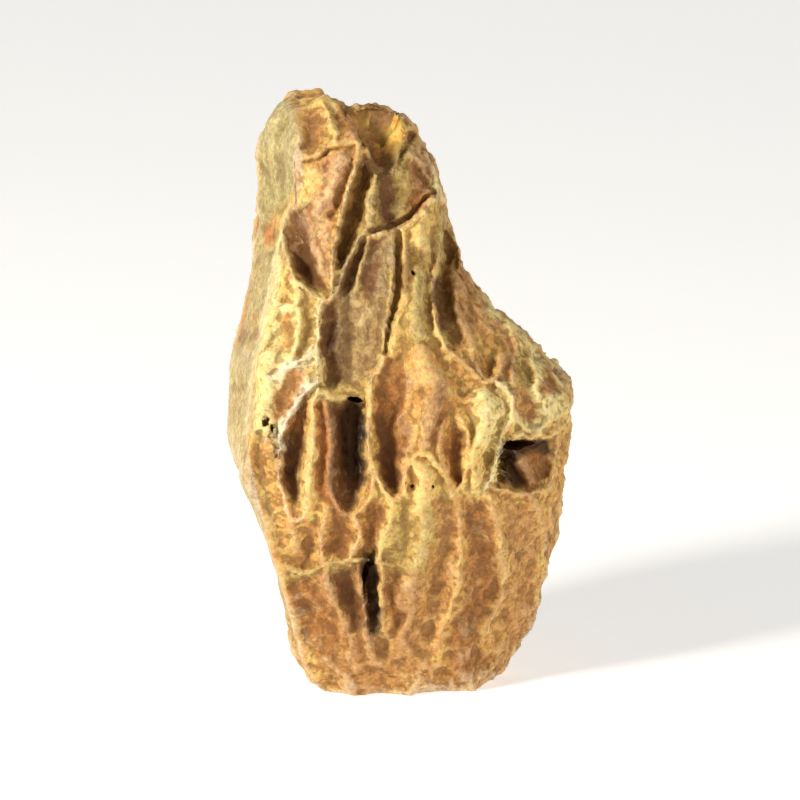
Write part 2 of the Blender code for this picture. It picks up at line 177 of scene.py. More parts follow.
@dataclass(frozen=True)
class Section:
    """One level outline of the rough block, given by its reach to each side."""

    up: float
    left: float
    ridge: float
    right: float
    front: float
    back: float

    def corners(self) -> list[Vector]:
        """The ten corners, counter-clockwise from the left edge, seen from above."""
        width = self.right - self.ridge
        points = [(self.left, LEFT_CORNER * self.back)]
        for corners, reach in ((FRONT_CORNERS, self.front), (BACK_CORNERS, self.back)):
            points += [(self.ridge + share * width, depth * reach) for share, depth in corners]
        along, depth = LEFT_BACK_CORNER
        points.append((self.left + along * width, depth * self.back))
        return [Vector((x, y, self.up)) * MM for x, y in points]


@dataclass(frozen=True)
class Hollow:
    """A hollow, placed as its side is looked at.

    It has its middle, the width, height and depth of its mouth, its lean to the right of
    upright in degrees, how much its lower end narrows, its rim, and how many degrees it digs
    towards the left.
    """

    side: Side
    across: float
    up: float
    wide: float
    tall: float
    deep: float
    lean: float
    narrow: float
    rim: Rim
    dig: float = 0.0


@dataclass(frozen=True)
class Strewn:
    """Hollows that dice place on one side: how many, and the range of each size.

    Their height and depth follow their width by one share, and the dice by their own.
    """

    side: Side
    left: float
    right: float
    low: float
    high: float
    count: int
    wide: Range
    tall: Range
    deep: Range
    lean: Range
    narrow: Range = (-0.2, 0.4)
    shared: float = 0.6
    own: float = 0.4

    def draw(self, dice: random.Random) -> Iterator[Hollow]:
        """Draw the hollows: a wider one is also taller and deeper."""
        for _ in range(self.count):
            wide = dice.uniform(*self.wide)
            share = self.shared * (wide - self.wide[0]) / (self.wide[1] - self.wide[0])
            tall = between(self.tall, self.own * dice.random() + share)
            deep = between(self.deep, self.own * dice.random() + share)
            across = dice.uniform(self.left, self.right)
            up = dice.uniform(self.low, self.high)
            lean = dice.uniform(*self.lean)
            narrow = dice.uniform(*self.narrow)
            yield Hollow(self.side, across, up, wide, tall, deep, lean, narrow, Rim.CRISP)


@dataclass(frozen=True)
class Facet:
    """A broken face: its middle, the way it looks, and how wide and high it reaches."""

    point: tuple[float, float, float]
    facing: tuple[float, float, float]
    wide: float
    high: float


@dataclass(frozen=True)
class Line:
    """A line of the drawing: how the surface runs there, its tint and how pale it is worn.

    Each point is across and down on the drawing, and how far the surface stands out, in mm.
    """

    run: Run
    tint: Tint
    worn: float
    points: tuple[tuple[float, float, float], ...]


@dataclass(frozen=True)
class Scallops:
    """Shallow bowls with crisp rims: size, depth, how drawn out, and lean in degrees."""

    name: str
    cell: float
    deep: float
    stretch: float
    lean: float


@dataclass(frozen=True)
class Bend:
    """Soft clouds that move the surface about: their size, how far they go, and their depth."""

    name: str
    size: float
    far: float
    depth: int = 2


def between(limits: Range, share: float) -> float:
    """The value at a share of the way from the first limit to the second."""
    return limits[0] + share * (limits[1] - limits[0])


def ramp(values: np.ndarray, limits: Range) -> np.ndarray:
    """0 below the first limit, 1 above the second, and even between them."""
    return np.clip((values - limits[0]) / (limits[1] - limits[0]), 0.0, 1.0)


def pick(obj: Shape) -> None:
    """Make one object the active and only selected one."""
    bpy.ops.object.select_all(action="DESELECT")
    obj.select_set(True)
    bpy.context.view_layer.objects.active = obj


def collection(name: str) -> bpy.types.Collection:
    """Add a collection to the scene."""
    new = bpy.data.collections.new(name)
    bpy.context.scene.collection.children.link(new)
    return new


def clear(group: bpy.types.Collection) -> None:
    """Delete a collection with its helper objects."""
    for obj in list(group.objects):
        bpy.data.objects.remove(obj)
    bpy.data.collections.remove(group)


def modify(obj: Shape, kind: str, **settings: object) -> None:
    """Put a modifier on an object and apply it.

    Args:
        obj: The object, which becomes the active one.
        kind: Blender's name for the kind of modifier.
        **settings: The modifier's own values.
    """
    pick(obj)
    modifier = obj.modifiers.new(kind.lower(), kind)
    for key, value in settings.items():
        setattr(modifier, key, value)
    bpy.ops.object.modifier_apply(modifier=modifier.name)


def tree_of(obj: Shape) -> BVHTree:
    """A search tree of an object's faces."""
    mesh = bmesh.new()
    mesh.from_mesh(obj.data)
    tree = BVHTree.FromBMesh(mesh)
    mesh.free()
    return tree


def coordinates(obj: Shape) -> np.ndarray:
    """The places of an object's vertices, one row each."""
    values = np.empty(len(obj.data.vertices) * 3)
    obj.data.vertices.foreach_get("co", values)
    return values.reshape(-1, 3)


def move_to(obj: Shape, places: np.ndarray) -> None:
    """Put an object's vertices at places."""
    obj.data.vertices.foreach_set("co", places.ravel())
    obj.data.update()


def displace(obj: Shape, texture: bpy.types.Texture, far: float, group: str, **how: object) -> None:
    """Move an object's surface by a texture.

    Args:
        obj: The object.
        texture: The texture.
        far: How far a full value of it moves the surface, in mm.
        group: Name of the vertex group that says how strongly, or nothing.
        **how: The modifier's other values, such as the direction.
    """
    how = {"texture_coords": "LOCAL", "direction": "NORMAL", **how}
    modify(obj, "DISPLACE", texture=texture, strength=far * MM, vertex_group=group, **how)


def bend(obj: Shape, bends: Bend, group: str = "") -> None:
    """Bend an object out of true, as strongly as a vertex group says if one is named."""
    texture = bpy.data.textures.get(bends.name) or bpy.data.textures.new(bends.name, "CLOUDS")
    texture.cloud_type = "COLOR"
    texture.noise_scale = bends.size * MM
    texture.noise_depth = bends.depth
    displace(obj, texture, bends.far, group, direction="RGB_TO_XYZ", mid_level=0.5)


def crust(obj: Shape, clouds: Bend, group: str, level: float) -> None:
    """Raise a crumbly crust on an object.

    Args:
        obj: The object.
        clouds: The clouds that the crust follows.
        group: Name of the vertex group that says how strong it is.
        level: Share of the clouds' height that lies at the plain surface.
    """
    texture = bpy.data.textures.new(clouds.name, "CLOUDS")
    texture.noise_type = "HARD_NOISE"
    texture.noise_scale = clouds.size * MM
    texture.noise_depth = clouds.depth
    displace(obj, texture, -clouds.far, group, mid_level=level)


def scallop(obj: Shape, pattern: Scallops, level: float, group: str) -> None:
    """Press shallow bowls into an object.

    Args:
        obj: The object.
        pattern: The bowls.
        level: Share of their depth by which they lie over the plain surface.
        group: Name of the vertex group that says how strong they are.
    """
    texture = bpy.data.textures.new(pattern.name, "VORONOI")
    texture.distance_metric = "DISTANCE_SQUARED"
    texture.noise_scale = pattern.cell * MM
    guide = bpy.data.objects.new(pattern.name + "_guide", None)
    guide.scale = (1, 1, pattern.stretch)
    guide.rotation_euler = (0, math.radians(pattern.lean), 0)
    bpy.context.scene.collection.objects.link(guide)
    bpy.context.view_layer.update()
    turned = {"texture_coords": "OBJECT", "texture_coords_object": guide}
    displace(obj, texture, pattern.deep, group, mid_level=level, **turned)
    bpy.data.objects.remove(guide)


@dataclass
class RoughBlock:
    """The stone before it is hollowed, drawn up from its lowest outline."""

    sections: tuple[Section, ...] = (
        Section(-8, -34, -30, 40, 25, 28),
        Section(8, -45, -41, 54, 36, 39),
        Section(24, -48, -44, 59, 40, 43),
        Section(50, -53, -49, 66, 46, 47),
        Section(68, -59, -54, 71, 50, 49),
        Section(82, -65, -59, 75, 53, 50),
        Section(95, -71, -65, 77, 54, 51),
        Section(104, -75, -68, 78, 54, 52),
        Section(126, -74, -67, 81, 53, 52),
        Section(142, -75, -64, 66, 51, 50),
        Section(157, -70, -61, 53, 48, 47),
        Section(171, -65, -59, 44, 44, 43),
        Section(187, -64, -55, 27, 40, 38),
        Section(207, -62, -49, 22, 35, 34),
        Section(224, -62, -47, 15, 31, 30),
        Section(235, -57, -43, 7, 27, 25),
        Section(244, -50, -40, -2, 20, 18),
        Section(251, -44, -36, -22, 8, 9),
    )
    firm_corners: tuple[int, ...] = (0, 1)
    firmness: float = 0.75
    levels: int = 4

    def build(self) -> Shape:
        """Extrude the outlines one by one, firm two edges up, and smooth the whole."""
        outlines = [section.corners() for section in self.sections]
        bpy.ops.object.select_all(action="DESELECT")
        bpy.ops.mesh.primitive_circle_add(vertices=len(outlines[0]), radius=MM, fill_type="NGON")
        block = bpy.context.object
        block.name = "rough_block"
        bpy.ops.object.mode_set(mode="EDIT")
        self.shape_ring(block, outlines[0])
        for low, high in zip(outlines, outlines[1:]):
            rise = high[0].z - low[0].z
            bpy.ops.mesh.extrude_region_move(TRANSFORM_OT_translate={"value": (0, 0, rise)})
            self.shape_ring(block, high)
        self.firm_edges(block, outlines)
        bpy.ops.mesh.select_all(action="SELECT")
        bpy.ops.mesh.normals_make_consistent(inside=False)
        bpy.ops.object.mode_set(mode="OBJECT")
        modify(block, "SUBSURF", levels=self.levels, render_levels=self.levels)
        return block

    def shape_ring(self, block: Shape, outline: list[Vector]) -> None:
        """Draw the selected ring's vertices out to the corners of an outline."""
        mesh = bmesh.from_edit_mesh(block.data)
        ring = [vert for vert in mesh.verts if vert.select]
        middle = sum((vert.co for vert in ring), Vector()) / len(ring)
        ring.sort(key=lambda vert: math.atan2(vert.co.y - middle.y, vert.co.x - middle.x))
        middle = sum(outline, Vector()) / len(outline)
        corners = sorted(outline, key=lambda c: math.atan2(c.y - middle.y, c.x - middle.x))
        for vert, corner in zip(ring, corners):
            vert.co = corner
        bmesh.update_edit_mesh(block.data)

    def firm_edges(self, block: Shape, outlines: list[list[Vector]]) -> None:
        """Crease the edges that run up the firm corners, and the foot's own outline."""
        runs = [[outline[i] for outline in outlines] for i in self.firm_corners]
        foot = outlines[0][0].z
        for value, wanted in (
            (
                self.firmness,
                lambda edge: any(all(near(v.co, run) for v in edge.verts) for run in runs),
            ),
            (1.0, lambda edge: all(abs(v.co.z - foot) < TOUCH for v in edge.verts)),
        ):
            bpy.ops.mesh.select_all(action="DESELECT")
            mesh = bmesh.from_edit_mesh(block.data)
            for edge in mesh.edges:
                if wanted(edge):
                    edge.select_set(True)
            bmesh.update_edit_mesh(block.data)
            bpy.ops.transform.edge_crease(value=value)


def near(place: Vector, others: list[Vector]) -> bool:
    """Whether a place is one of the others."""
    return any((place - other).length < TOUCH for other in others)


@dataclass
class Carving:
    """The broken faces and hollows that make the block into the stone."""

    facets: tuple[Facet, ...] = (
        Facet((-49.4, -10, 243), (-0.905, -0.42, 0.06), 100, 94),
        Facet((-70.4, -10, 150), (-0.893, -0.254, 0.373), 110, 100),
        Facet((-69.3, -10, 130), (-0.961, -0.23, 0.156), 120, 110),
    )
    strewn: tuple[Strewn, ...] = (
        Strewn(Side.BACK, -52, 58, 12, 215, 40, (12, 30), (22, 60), (5, 13), (-20, 20)),
        Strewn(Side.RIGHT, 20, 44, 12, 215, 12, (12, 24), (24, 50), (5, 11), (-15, 15)),
        Strewn(Side.LEFT, -34, -14, 20, 200, 8, (10, 18), (24, 44), (4, 8), (-12, 12)),
        Strewn(Side.TOP, -30, 0, -10, 30, 4, (8, 14), (10, 18), (3, 6), (-40, 40)),
    )
    holes: tuple[Hollow, ...] = (
        # the open bowl of the crown
        Hollow(Side.FRONT, -8.5, 230, 26, 50, 13, 0, 0.5, Rim.CRISP, 5),
        # the caves under the bulge
        Hollow(Side.FRONT, 45.5, 88, 11, 15, 30, 15, 0.0, Rim.STEEP, 20),
        Hollow(Side.FRONT, 49.5, 97, 19, 5.5, 24, -5, 0.0, Rim.STEEP, 10),
        # the hole under the lip of the bowl, and small holes here and there
        Hollow(Side.FRONT, -19, 116, 8, 3.5, 22, 10, 0.0, Rim.STEEP),
        Hollow(Side.FRONT, 5, 168.5, 3.0, 1.8, 6, 60, 0.0, Rim.STEEP),
        Hollow(Side.FRONT, -55.5, 107, 3.2, 4.5, 8, 30, 0.0, Rim.STEEP),
        Hollow(Side.FRONT, -53, 104, 2.6, 5, 8, -10, 0.0, Rim.STEEP),
        Hollow(Side.FRONT, -13, 42, 4, 24, 20, 5, 0.2, Rim.STEEP, 10),
        # pits in the mass under the flute
        Hollow(Side.FRONT, 4.5, 80.5, 1.8, 2.4, 4, 20, 0.0, Rim.STEEP),
        Hollow(Side.FRONT, 10, 84, 1.6, 1.5, 3, 0, 0.0, Rim.STEEP),
        Hollow(Side.FRONT, 12.5, 81, 1.5, 2.0, 3, -20, 0.0, Rim.STEEP),
    )
    slab: float = 60.0
    slab_cuts: int = 12
    facet_bend: Bend = Bend("facet_bend", 30.0, 3.0)
    hollow_bend: Bend = Bend("hollow_bend", 11.0, 5.0, 1)
    bend_share: float = 0.6
    least_faced: float = 0.5
    egg_detail: int = 4

    def place(self, tree: BVHTree, spot: Hollow) -> Matrix:
        """Where the line of sight to a hollow meets the block.

        Args:
            tree: The block's faces.
            spot: The hollow.

        Returns:
            A matrix whose X is across, Y inward and Z along the hollow's lean.
        """
        right, top, inward = spot.side.axes()
        start = right * spot.across * MM + top * spot.up * MM - inward
        point, normal, _, _ = tree.ray_cast(start, inward)
        if point is None:
            point, normal, _, _ = tree.find_nearest(start + inward)
        inward = (inward - normal).normalized()
        lean = math.radians(spot.lean)
        along = top * math.cos(lean) + right * math.sin(lean)
        inward = Matrix.Rotation(math.radians(spot.dig), 3, along) @ inward
        along = (along - inward * along.dot(inward)).normalized()
        frame_axes = Matrix((inward.cross(along), inward, along)).transposed().to_4x4()
        frame_axes.translation = point
        return frame_axes

    def model_egg(self) -> Shape:
        """The ball that each hollow is copied from."""
        bpy.ops.object.select_all(action="DESELECT")
        bpy.ops.mesh.primitive_ico_sphere_add(subdivisions=self.egg_detail, radius=1.0)
        egg = bpy.context.object
        egg.name = "egg"
        return egg

    def copy_egg(
        self,
        egg: Shape,
        group: bpy.types.Collection,
        place: Matrix,
        half: tuple[float, float, float],
        narrow: float,
    ) -> None:
        """Copy the egg to a place and bend it.

        Args:
            egg: The model egg.
            group: Collection that the copy goes to.
            place: Where it goes.
            half: Its half sizes across, inward and along, in metres.
            narrow: How much its lower end narrows.
        """
        copy = bpy.data.objects.new(group.name, egg.data.copy())
        group.objects.link(copy)
        shape = coordinates(copy)
        shape[:, 0] *= 1.0 + narrow * shape[:, 2]
        move_to(copy, shape)
        copy.data.transform(place @ Matrix.Diagonal((*half, 1.0)))
        far = min(self.hollow_bend.far, self.bend_share * min(half[0], half[2]) / MM)
        bend(copy, replace(self.hollow_bend, far=far))

    def cut_slab(self, facet: Facet, group: bpy.types.Collection) -> None:
        """Stand a bent slab on a broken face, for the block to be cut with."""
        bpy.ops.object.select_all(action="DESELECT")
        bpy.ops.mesh.primitive_cube_add(size=1.0, location=(0, 0, 0))
        slab = bpy.context.object
        bpy.ops.object.mode_set(mode="EDIT")
        bpy.ops.transform.translate(value=(0, 0, 0.5))
        bpy.ops.transform.resize(
            value=(facet.wide * MM, facet.high * MM, self.slab * MM), center_override=(0, 0, 0)
        )
        bpy.ops.mesh.subdivide(number_cuts=self.slab_cuts)
        bpy.ops.object.mode_set(mode="OBJECT")
        facing = Vector(facet.facing).normalized()
        level = Vector((0, 0, 1)).cross(facing).normalized()
        turn = Matrix((level, facing.cross(level), facing)).transposed().to_4x4()
        slab.data.transform(Matrix.Translation(Vector(facet.point) * MM) @ turn)
        for home in slab.users_collection:
            home.objects.unlink(slab)
        group.objects.link(slab)
        bend(slab, self.facet_bend)

    def cut(self, stone: Shape, tree: BVHTree) -> None:
        """Cut the broken faces, and then the hollows that the dice place."""
        dice = random.Random(SEED)
        group = collection("broken_faces")
        for facet in self.facets:
            self.cut_slab(facet, group)
        cut_by(stone, group)
        drawn = [hollow for strewn in self.strewn for hollow in strewn.draw(dice)]
        self.hollow_out(stone, tree, [hollow for hollow in drawn if self.faced(tree, hollow)])

    def faced(self, tree: BVHTree, hollow: Hollow) -> bool:
        """Whether the block turns its face to a hollow's side, and not its edge."""
        right, top, inward = hollow.side.axes()
        start = right * hollow.across * MM + top * hollow.up * MM - inward
        normal = tree.ray_cast(start, inward)[1]
        return normal is not None and -normal.dot(inward) > self.least_faced

    def hollow_out(self, stone: Shape, tree: BVHTree, hollows: list[Hollow]) -> None:
        """Cut hollows, each with a copy of the egg.

        Args:
            stone: The stone that is cut.
            tree: The faces of the block that they are placed on.
            hollows: What is cut.
        """
        group = collection("hollows")
        egg = self.model_egg()
        for hollow in hollows:
            outside = hollow.rim.value
            reach = hollow.deep * MM / (1.0 - outside)
            mouth = math.sqrt(1.0 - outside**2)
            half = (hollow.wide * MM / 2 / mouth, reach, hollow.tall * MM / 2 / mouth)
            place = self.place(tree, hollow) @ Matrix.Translation((0, -outside * reach, 0))
            self.copy_egg(egg, group, place, half, hollow.narrow)
        bpy.data.objects.remove(egg)
        cut_by(stone, group)


def cut_by(obj: Shape, group: bpy.types.Collection) -> None:
    """Cut an object by all of a collection, and clear the collection."""
    modify(
        obj,
        "BOOLEAN",
        operation="DIFFERENCE",
        operand_type="COLLECTION",
        collection=group,
        solver="MANIFOLD",
    )
    clear(group)


# The drawing: all its lines, and the stone's outline, in the drawing's own units.
FLANK_EDGE: tuple[Line, ...] = (
    # the edge between the flank and the face, from the top to the foot
    Line(Run.RIDGE, Tint.OCHRE, 0.2, ((413, 134, 0), (415.7, 144, 0), (417, 163, 0),
        (418.6, 182, 0), (415.7, 204, 0), (408, 218, 0))),
    Line(Run.RIDGE, Tint.CREAM, 0.6, ((408, 218, 0), (402, 235, 0), (396.6, 259, 0), (391, 290, 0),
        (387, 307, 0), (384, 331, 0), (383, 350, 0))),
    Line(Run.RIDGE, Tint.OCHRE, 0.2, ((383, 350, 0), (388, 380, 0), (395, 410, 0), (402, 440, 0),
        (410, 480, 0), (418, 505, 0))),
)
LINES: tuple[Line, ...] = (
    # the smooth flank: a faint crease down it, rusty stains at its outer edge
    Line(Run.ROUND, Tint.SAGE, 0, ((409, 136, 0), (404, 150, 0), (400, 166, 0), (398, 184, 0),
        (396, 204, 0))),
    Line(Run.VALLEY, Tint.SAGE, 0, ((412, 150, -0.8), (409, 168, -1.6), (407, 186, -1.6),
        (404, 204, -1))),
    Line(Run.ROUND, Tint.SAGE, 0, ((414, 162, 0), (413, 180, 0), (410, 198, 0))),
    Line(Run.ROUND, Tint.SAGE, 0, ((392, 216, 0), (391, 236, 0), (388, 258, 0), (384, 282, 0),
        (380, 306, 0), (377, 330, 0))),
    Line(Run.ROUND, Tint.SAGE, 0, ((393, 160, 0), (391, 176, 0), (392, 194, 0))),
    Line(Run.STAIN, Tint.SAGE, 0, ((399, 234, 0), (395, 254, 0), (390, 276, 0), (385, 300, 0),
        (382, 326, 0), (380, 350, 0))),
    Line(Run.ROUND, Tint.RUST, 0, ((397, 222, 0), (396, 232, 0))),
    Line(Run.ROUND, Tint.RUST, 0, ((384, 266, 0), (379, 276, 0), (377, 288, 0))),
    Line(Run.ROUND, Tint.RUST, 0, ((388, 276, 0), (386, 290, 0))),
    Line(Run.ROUND, Tint.SAGE, 0, ((373, 312, 0), (373, 330, 0), (375, 350, 0), (382, 376, 0),
        (392, 410, 0))),
    Line(Run.ROUND, Tint.STRAW, 0.1, ((416, 141, 0), (420, 137, 0), (429, 135, 0), (438, 140, 0))),
    Line(Run.RIDGE, Tint.STRAW, 0.3, ((424, 143, -0.5), (430, 141, 0), (435, 146, 0.5),
        (438, 156, 1), (440, 164, 1), (437, 170, 0.5))),
    Line(Run.VALLEY, Tint.TAN, 0, ((425, 151, -5), (426, 160, -6), (426, 169, -5))),
    Line(Run.RIDGE, Tint.OCHRE, 0.3, ((417, 176, -0.5), (422, 178.5, 0), (429, 176, 0),
        (437, 170, 0.5), (446, 168, 1.5), (455, 169, 2))),
    Line(Run.CRACK, Tint.BROWN, 0, ((420, 182, -2.5), (429, 179.5, -4), (437, 173.5, -4),
        (444, 172, -1))),
    # the pink column under it, and the leaf-shaped hollow
    Line(Run.ROUND, Tint.ROSE, 0.1, ((444, 180, 1.5), (439, 192, 1.5), (433, 204, 1.5),
        (428, 212, 0.5))),
    Line(Run.RIDGE, Tint.OCHRE, 0.5, ((455, 169, 2), (451, 184, 2), (446, 202, 2), (441, 222, 2),
        (437, 240, 1.5), (436, 255, 1), (435, 266, 0.5), (431, 269, 0.5))),
    Line(Run.ROUND, Tint.STRAW, 0.1, ((421, 190, 0.5), (424, 198, 1), (420, 204, 0.5))),
    Line(Run.RIDGE, Tint.OLIVE, 0.4, ((420, 207, 0), (412, 208, 0.5), (408, 214, 0.5),
        (406, 223, 1), (408, 236, 1.5), (412, 249, 1.5), (419, 258, 1.5), (426, 264, 1.5),
        (431, 269, 1.5))),
    Line(Run.VALLEY, Tint.UMBER, 0, ((413, 214, -5), (411, 224, -9), (414, 236, -12),
        (419, 248, -11), (425, 258, -7))),
    Line(Run.RIDGE, Tint.ROSE, 0, ((421, 212, -1.5), (427, 226, -4), (431, 240, -4.5),
        (432, 252, -3))),
    Line(Run.VALLEY, Tint.ROSE, 0, ((433, 222, -2.5), (434, 238, -3), (434, 250, -2))),
    # the rough cream column down the left of the face
    Line(Run.RIDGE, Tint.CREAM, 0.7, ((403, 240, 0.5), (402, 254, 1), (398, 268, 1), (394, 282, 1),
        (391, 296, 0.5))),
    Line(Run.VALLEY, Tint.STRAW, 0, ((407, 246, -1), (408, 256, -1.5), (406, 266, -1))),
    Line(Run.RIDGE, Tint.CREAM, 0.3, ((411, 252, 1), (415, 262, 1), (413, 270, 1), (405, 272, 0.5),
        (400, 266, 0.5))),
    Line(Run.VALLEY, Tint.OCHRE, 0, ((407, 279, -1.5), (409, 287, -3), (408, 294, -1.5))),
    Line(Run.STAIN, Tint.CREAM, 0, ((400, 276, 0), (402, 286, 0), (399, 296, 0))),
    Line(Run.VALLEY, Tint.OLIVE, 0, ((420, 268, -2), (422, 280, -3), (421, 292, -3),
        (417, 302, -2))),
    Line(Run.RIDGE, Tint.CREAM, 0.2, ((415, 273, 0.5), (416, 283, 0), (414, 294, 0),
        (409, 303, 0.5), (404, 312, 1))),
    Line(Run.RIDGE, Tint.WHITE, 0.6, ((424, 300, 1.5), (416, 304, 1.5), (409, 308, 1),
        (402, 314, 1))),
    Line(Run.ROUND, Tint.CREAM, 0.5, ((398, 300, 1.5), (397, 316, 1.5), (396, 330, 1),
        (394, 342, 0.5))),
    Line(Run.VALLEY, Tint.TAN, 0, ((414, 314, -1), (409, 324, -2), (405, 336, -2))),
    Line(Run.ROUND, Tint.OCHRE, 0.3, ((400, 360, 1), (404, 380, 1), (410, 400, 0.5),
        (414, 420, 0.5))),
    # the smooth bowl, its lip, and the crevice at its right
    Line(Run.RIDGE, Tint.CREAM, 0.7, ((431, 269, 1.5), (429, 280, 2), (428, 295, 2),
        (428.5, 310, 2), (428, 319, 1.5), (427, 325, 1))),
    Line(Run.VALLEY, Tint.UMBER, 0, ((436, 272, -7), (434, 285, -10), (434, 300, -11),
        (437, 314, -9))),
    Line(Run.VALLEY, Tint.GREY, 0, ((446, 262, -7), (446, 277, -10), (446, 292, -11),
        (447, 306, -10), (449, 316, -8))),
    Line(Run.ROUND, Tint.GREY, 0, ((459, 284, -8.5), (457, 297, -9), (455, 309, -8.5))),
    Line(Run.VALLEY, Tint.GREY, 0, ((466, 276, -7), (464, 292, -8), (459, 308, -8))),
    Line(Run.RIDGE, Tint.OLIVE, 0.5, ((475, 262, -2), (472, 280, -2), (469, 298, -2),
        (464, 310, -2.5), (460, 319, -3), (459, 326, -3))),
    Line(Run.ROUND, Tint.OLIVE, 0.1, ((430, 323, 0.5), (437, 327, -1.5), (446, 328, -2.5),
        (453, 328, -3))),
    Line(Run.CRACK, Tint.DARK, 0, ((478, 224, -6), (478, 240, -9), (477, 256, -9), (475.5, 270, -9),
        (472.5, 286, -8), (470, 300, -7))),
    # the crown: the open bowl, the crack beside it, and the strip at its right
    Line(Run.RIDGE, Tint.TAN, 0.2, ((441, 141, 0), (444, 147, 0), (447, 155, 1), (450, 163, 1.5),
        (455, 169, 2))),
    Line(Run.RIDGE, Tint.OLIVE, 0.2, ((458, 173, 1), (460, 181, 0.5), (464, 187, -0.5),
        (468, 189, -1), (473, 186, -1))),
    Line(Run.STAIN, Tint.BROWN, 0, ((446, 150, 0), (450, 160, 0))),
    Line(Run.STAIN, Tint.OCHRE, 0, ((452, 149, 0), (455, 158, 0), (459, 166, 0))),
    Line(Run.STAIN, Tint.GOLD, 0, ((458, 142, 0), (462, 152, 0), (467, 164, 0), (469, 172, 0))),
    Line(Run.STAIN, Tint.GOLD, 0, ((470, 143, 0), (477, 153, 0), (477, 164, 0), (474, 172, 0))),
    Line(Run.STAIN, Tint.BROWN, 0, ((460, 173, 0), (466, 181, 0), (471, 184, 0))),
    Line(Run.RIDGE, Tint.OLIVE, 0.3, ((483, 149, 0), (486, 156, 0), (484, 164, -0.5),
        (480, 173, -1), (476, 182, -1), (473, 186, -1))),
    Line(Run.CRACK, Tint.DARK, 0, ((490, 159, -4), (486, 166, -6), (482, 176, -6), (478, 186, -5))),
    Line(Run.RIDGE, Tint.CREAM, 0.8, ((488, 151, 0), (493, 160, 0.5), (497, 172, 0.5),
        (501, 186, 0.5), (504, 199, 0.5))),
    Line(Run.VALLEY, Tint.ROSE, 0, ((490, 166, -1), (493, 176, -2), (497, 188, -2))),
    # the brown hollow over the ledge
    Line(Run.RIDGE, Tint.OLIVE, 0.3, ((465, 187, -0.5), (463, 196, 0), (462, 208, 0),
        (460, 221, -0.5))),
    Line(Run.VALLEY, Tint.PLUM, 0, ((471, 194, -8), (470, 204, -10), (470, 214, -9))),
    Line(Run.ROUND, Tint.OLIVE, 0, ((483, 186, -5), (483, 198, -6), (479, 210, -7))),
    Line(Run.VALLEY, Tint.BROWN, 0, ((490, 184, -5), (492, 196, -7), (489, 206, -7.5))),
    Line(Run.CRACK, Tint.DARK, 0, ((461, 223.5, -6), (470, 220.5, -10), (478, 217, -11),
        (486, 211, -11), (494, 203, -9), (501, 197, -5))),
    Line(Run.RIDGE, Tint.OCHRE, 0.6, ((460, 226, -1), (470, 224.5, -1.5), (479, 221, -1),
        (488, 215, 0), (496, 207, 0.5), (504, 200, 0.5))),
    # the narrow channels, and the grey face between them and the column
    Line(Run.VALLEY, Tint.UMBER, 0, ((459, 180, -6), (456, 189, -11))),
    Line(Run.VALLEY, Tint.MOSS, 0, ((456, 189, -11), (452, 204, -12), (448, 218, -13),
        (444, 232, -12), (442, 240, -10))),
    Line(Run.RIDGE, Tint.OLIVE, 0.4, ((464, 188, 0), (460, 204, 0), (458, 220, -0.5),
        (454, 228, -0.5), (449, 238, -1), (443, 250, -1), (439, 260, -1), (435, 267, 0))),
    Line(Run.VALLEY, Tint.UMBER, 0, ((456, 232, -7), (453, 242, -9), (448, 254, -9),
        (443, 263, -8))),
    Line(Run.RIDGE, Tint.OLIVE, 0.2, ((459, 228, -1), (457, 240, -2.5), (454, 252, -3),
        (449, 263, -4))),
    Line(Run.VALLEY, Tint.PLUM, 0, ((463, 233, -4), (461, 244, -5.5), (458, 256, -6))),
    Line(Run.ROUND, Tint.GREY, 0, ((470, 228, -2.5), (471, 244, -3), (470, 260, -3.5))),
    Line(Run.RIDGE, Tint.OLIVE, 0.4, ((475, 226, -2), (475.5, 240, -2), (475, 262, -2))),
    # the yellow column
    Line(Run.ROUND, Tint.STRAW, 0.1, ((494, 209, 2), (493, 220, 3.5), (492, 232, 3.5))),
    Line(Run.ROUND, Tint.OLIVE, 0, ((490, 248, 2), (489, 260, 2.5), (489, 274, 2.5),
        (490, 288, 2.5))),
    Line(Run.ROUND, Tint.OCHRE, 0, ((492, 300, 3), (496, 312, 3.5), (500, 322, 3))),
    Line(Run.RIDGE, Tint.STRAW, 0, ((480, 224, -1), (482, 240, 0), (481, 256, 0), (479, 270, 0),
        (477, 286, -0.5), (474, 300, -0.5))),
    Line(Run.VALLEY, Tint.MOSS, 0, ((485, 232, -0.5), (486, 246, -0.5), (485, 260, 0.5))),
    Line(Run.ROUND, Tint.OLIVE, 0.1, ((505, 203, 0.5), (506, 216, 1), (506, 228, 1),
        (504, 240, 1))),
    Line(Run.RIDGE, Tint.STRAW, 0.3, ((505, 238, 1), (501, 250, 1), (499.5, 262, 1), (500, 276, 1),
        (503, 288, 1), (509, 297, 1))),
    Line(Run.RIDGE, Tint.OCHRE, 0.4, ((509, 297, 1), (517, 304, 1), (525, 312, 1), (532, 319, 1.5),
        (537, 317, 2))),
    # the long flute, its ribs, and the pointed scoop
    Line(Run.VALLEY, Tint.MOSS, 0, ((509, 210, -5), (511, 224, -8), (511, 238, -11))),
    Line(Run.VALLEY, Tint.MOSS, 0, ((511, 238, -11), (508, 250, -13), (507, 264, -14),
        (508, 277, -12), (511, 288, -7))),
    Line(Run.STAIN, Tint.UMBER, 0, ((505, 254, 0), (504, 270, 0), (506, 284, 0))),
    Line(Run.ROUND, Tint.TAN, 0.1, ((513, 214, -1), (516, 228, -3), (519, 242, -4), (520, 256, -4),
        (521, 270, -3))),
    Line(Run.VALLEY, Tint.TAN, 0, ((528, 258, -2.5), (528, 272, -3.5), (523, 286, -3))),
    Line(Run.ROUND, Tint.CREAM, 0.3, ((508, 203, 0), (516, 226, 0), (526, 250, 0), (540, 270, 0),
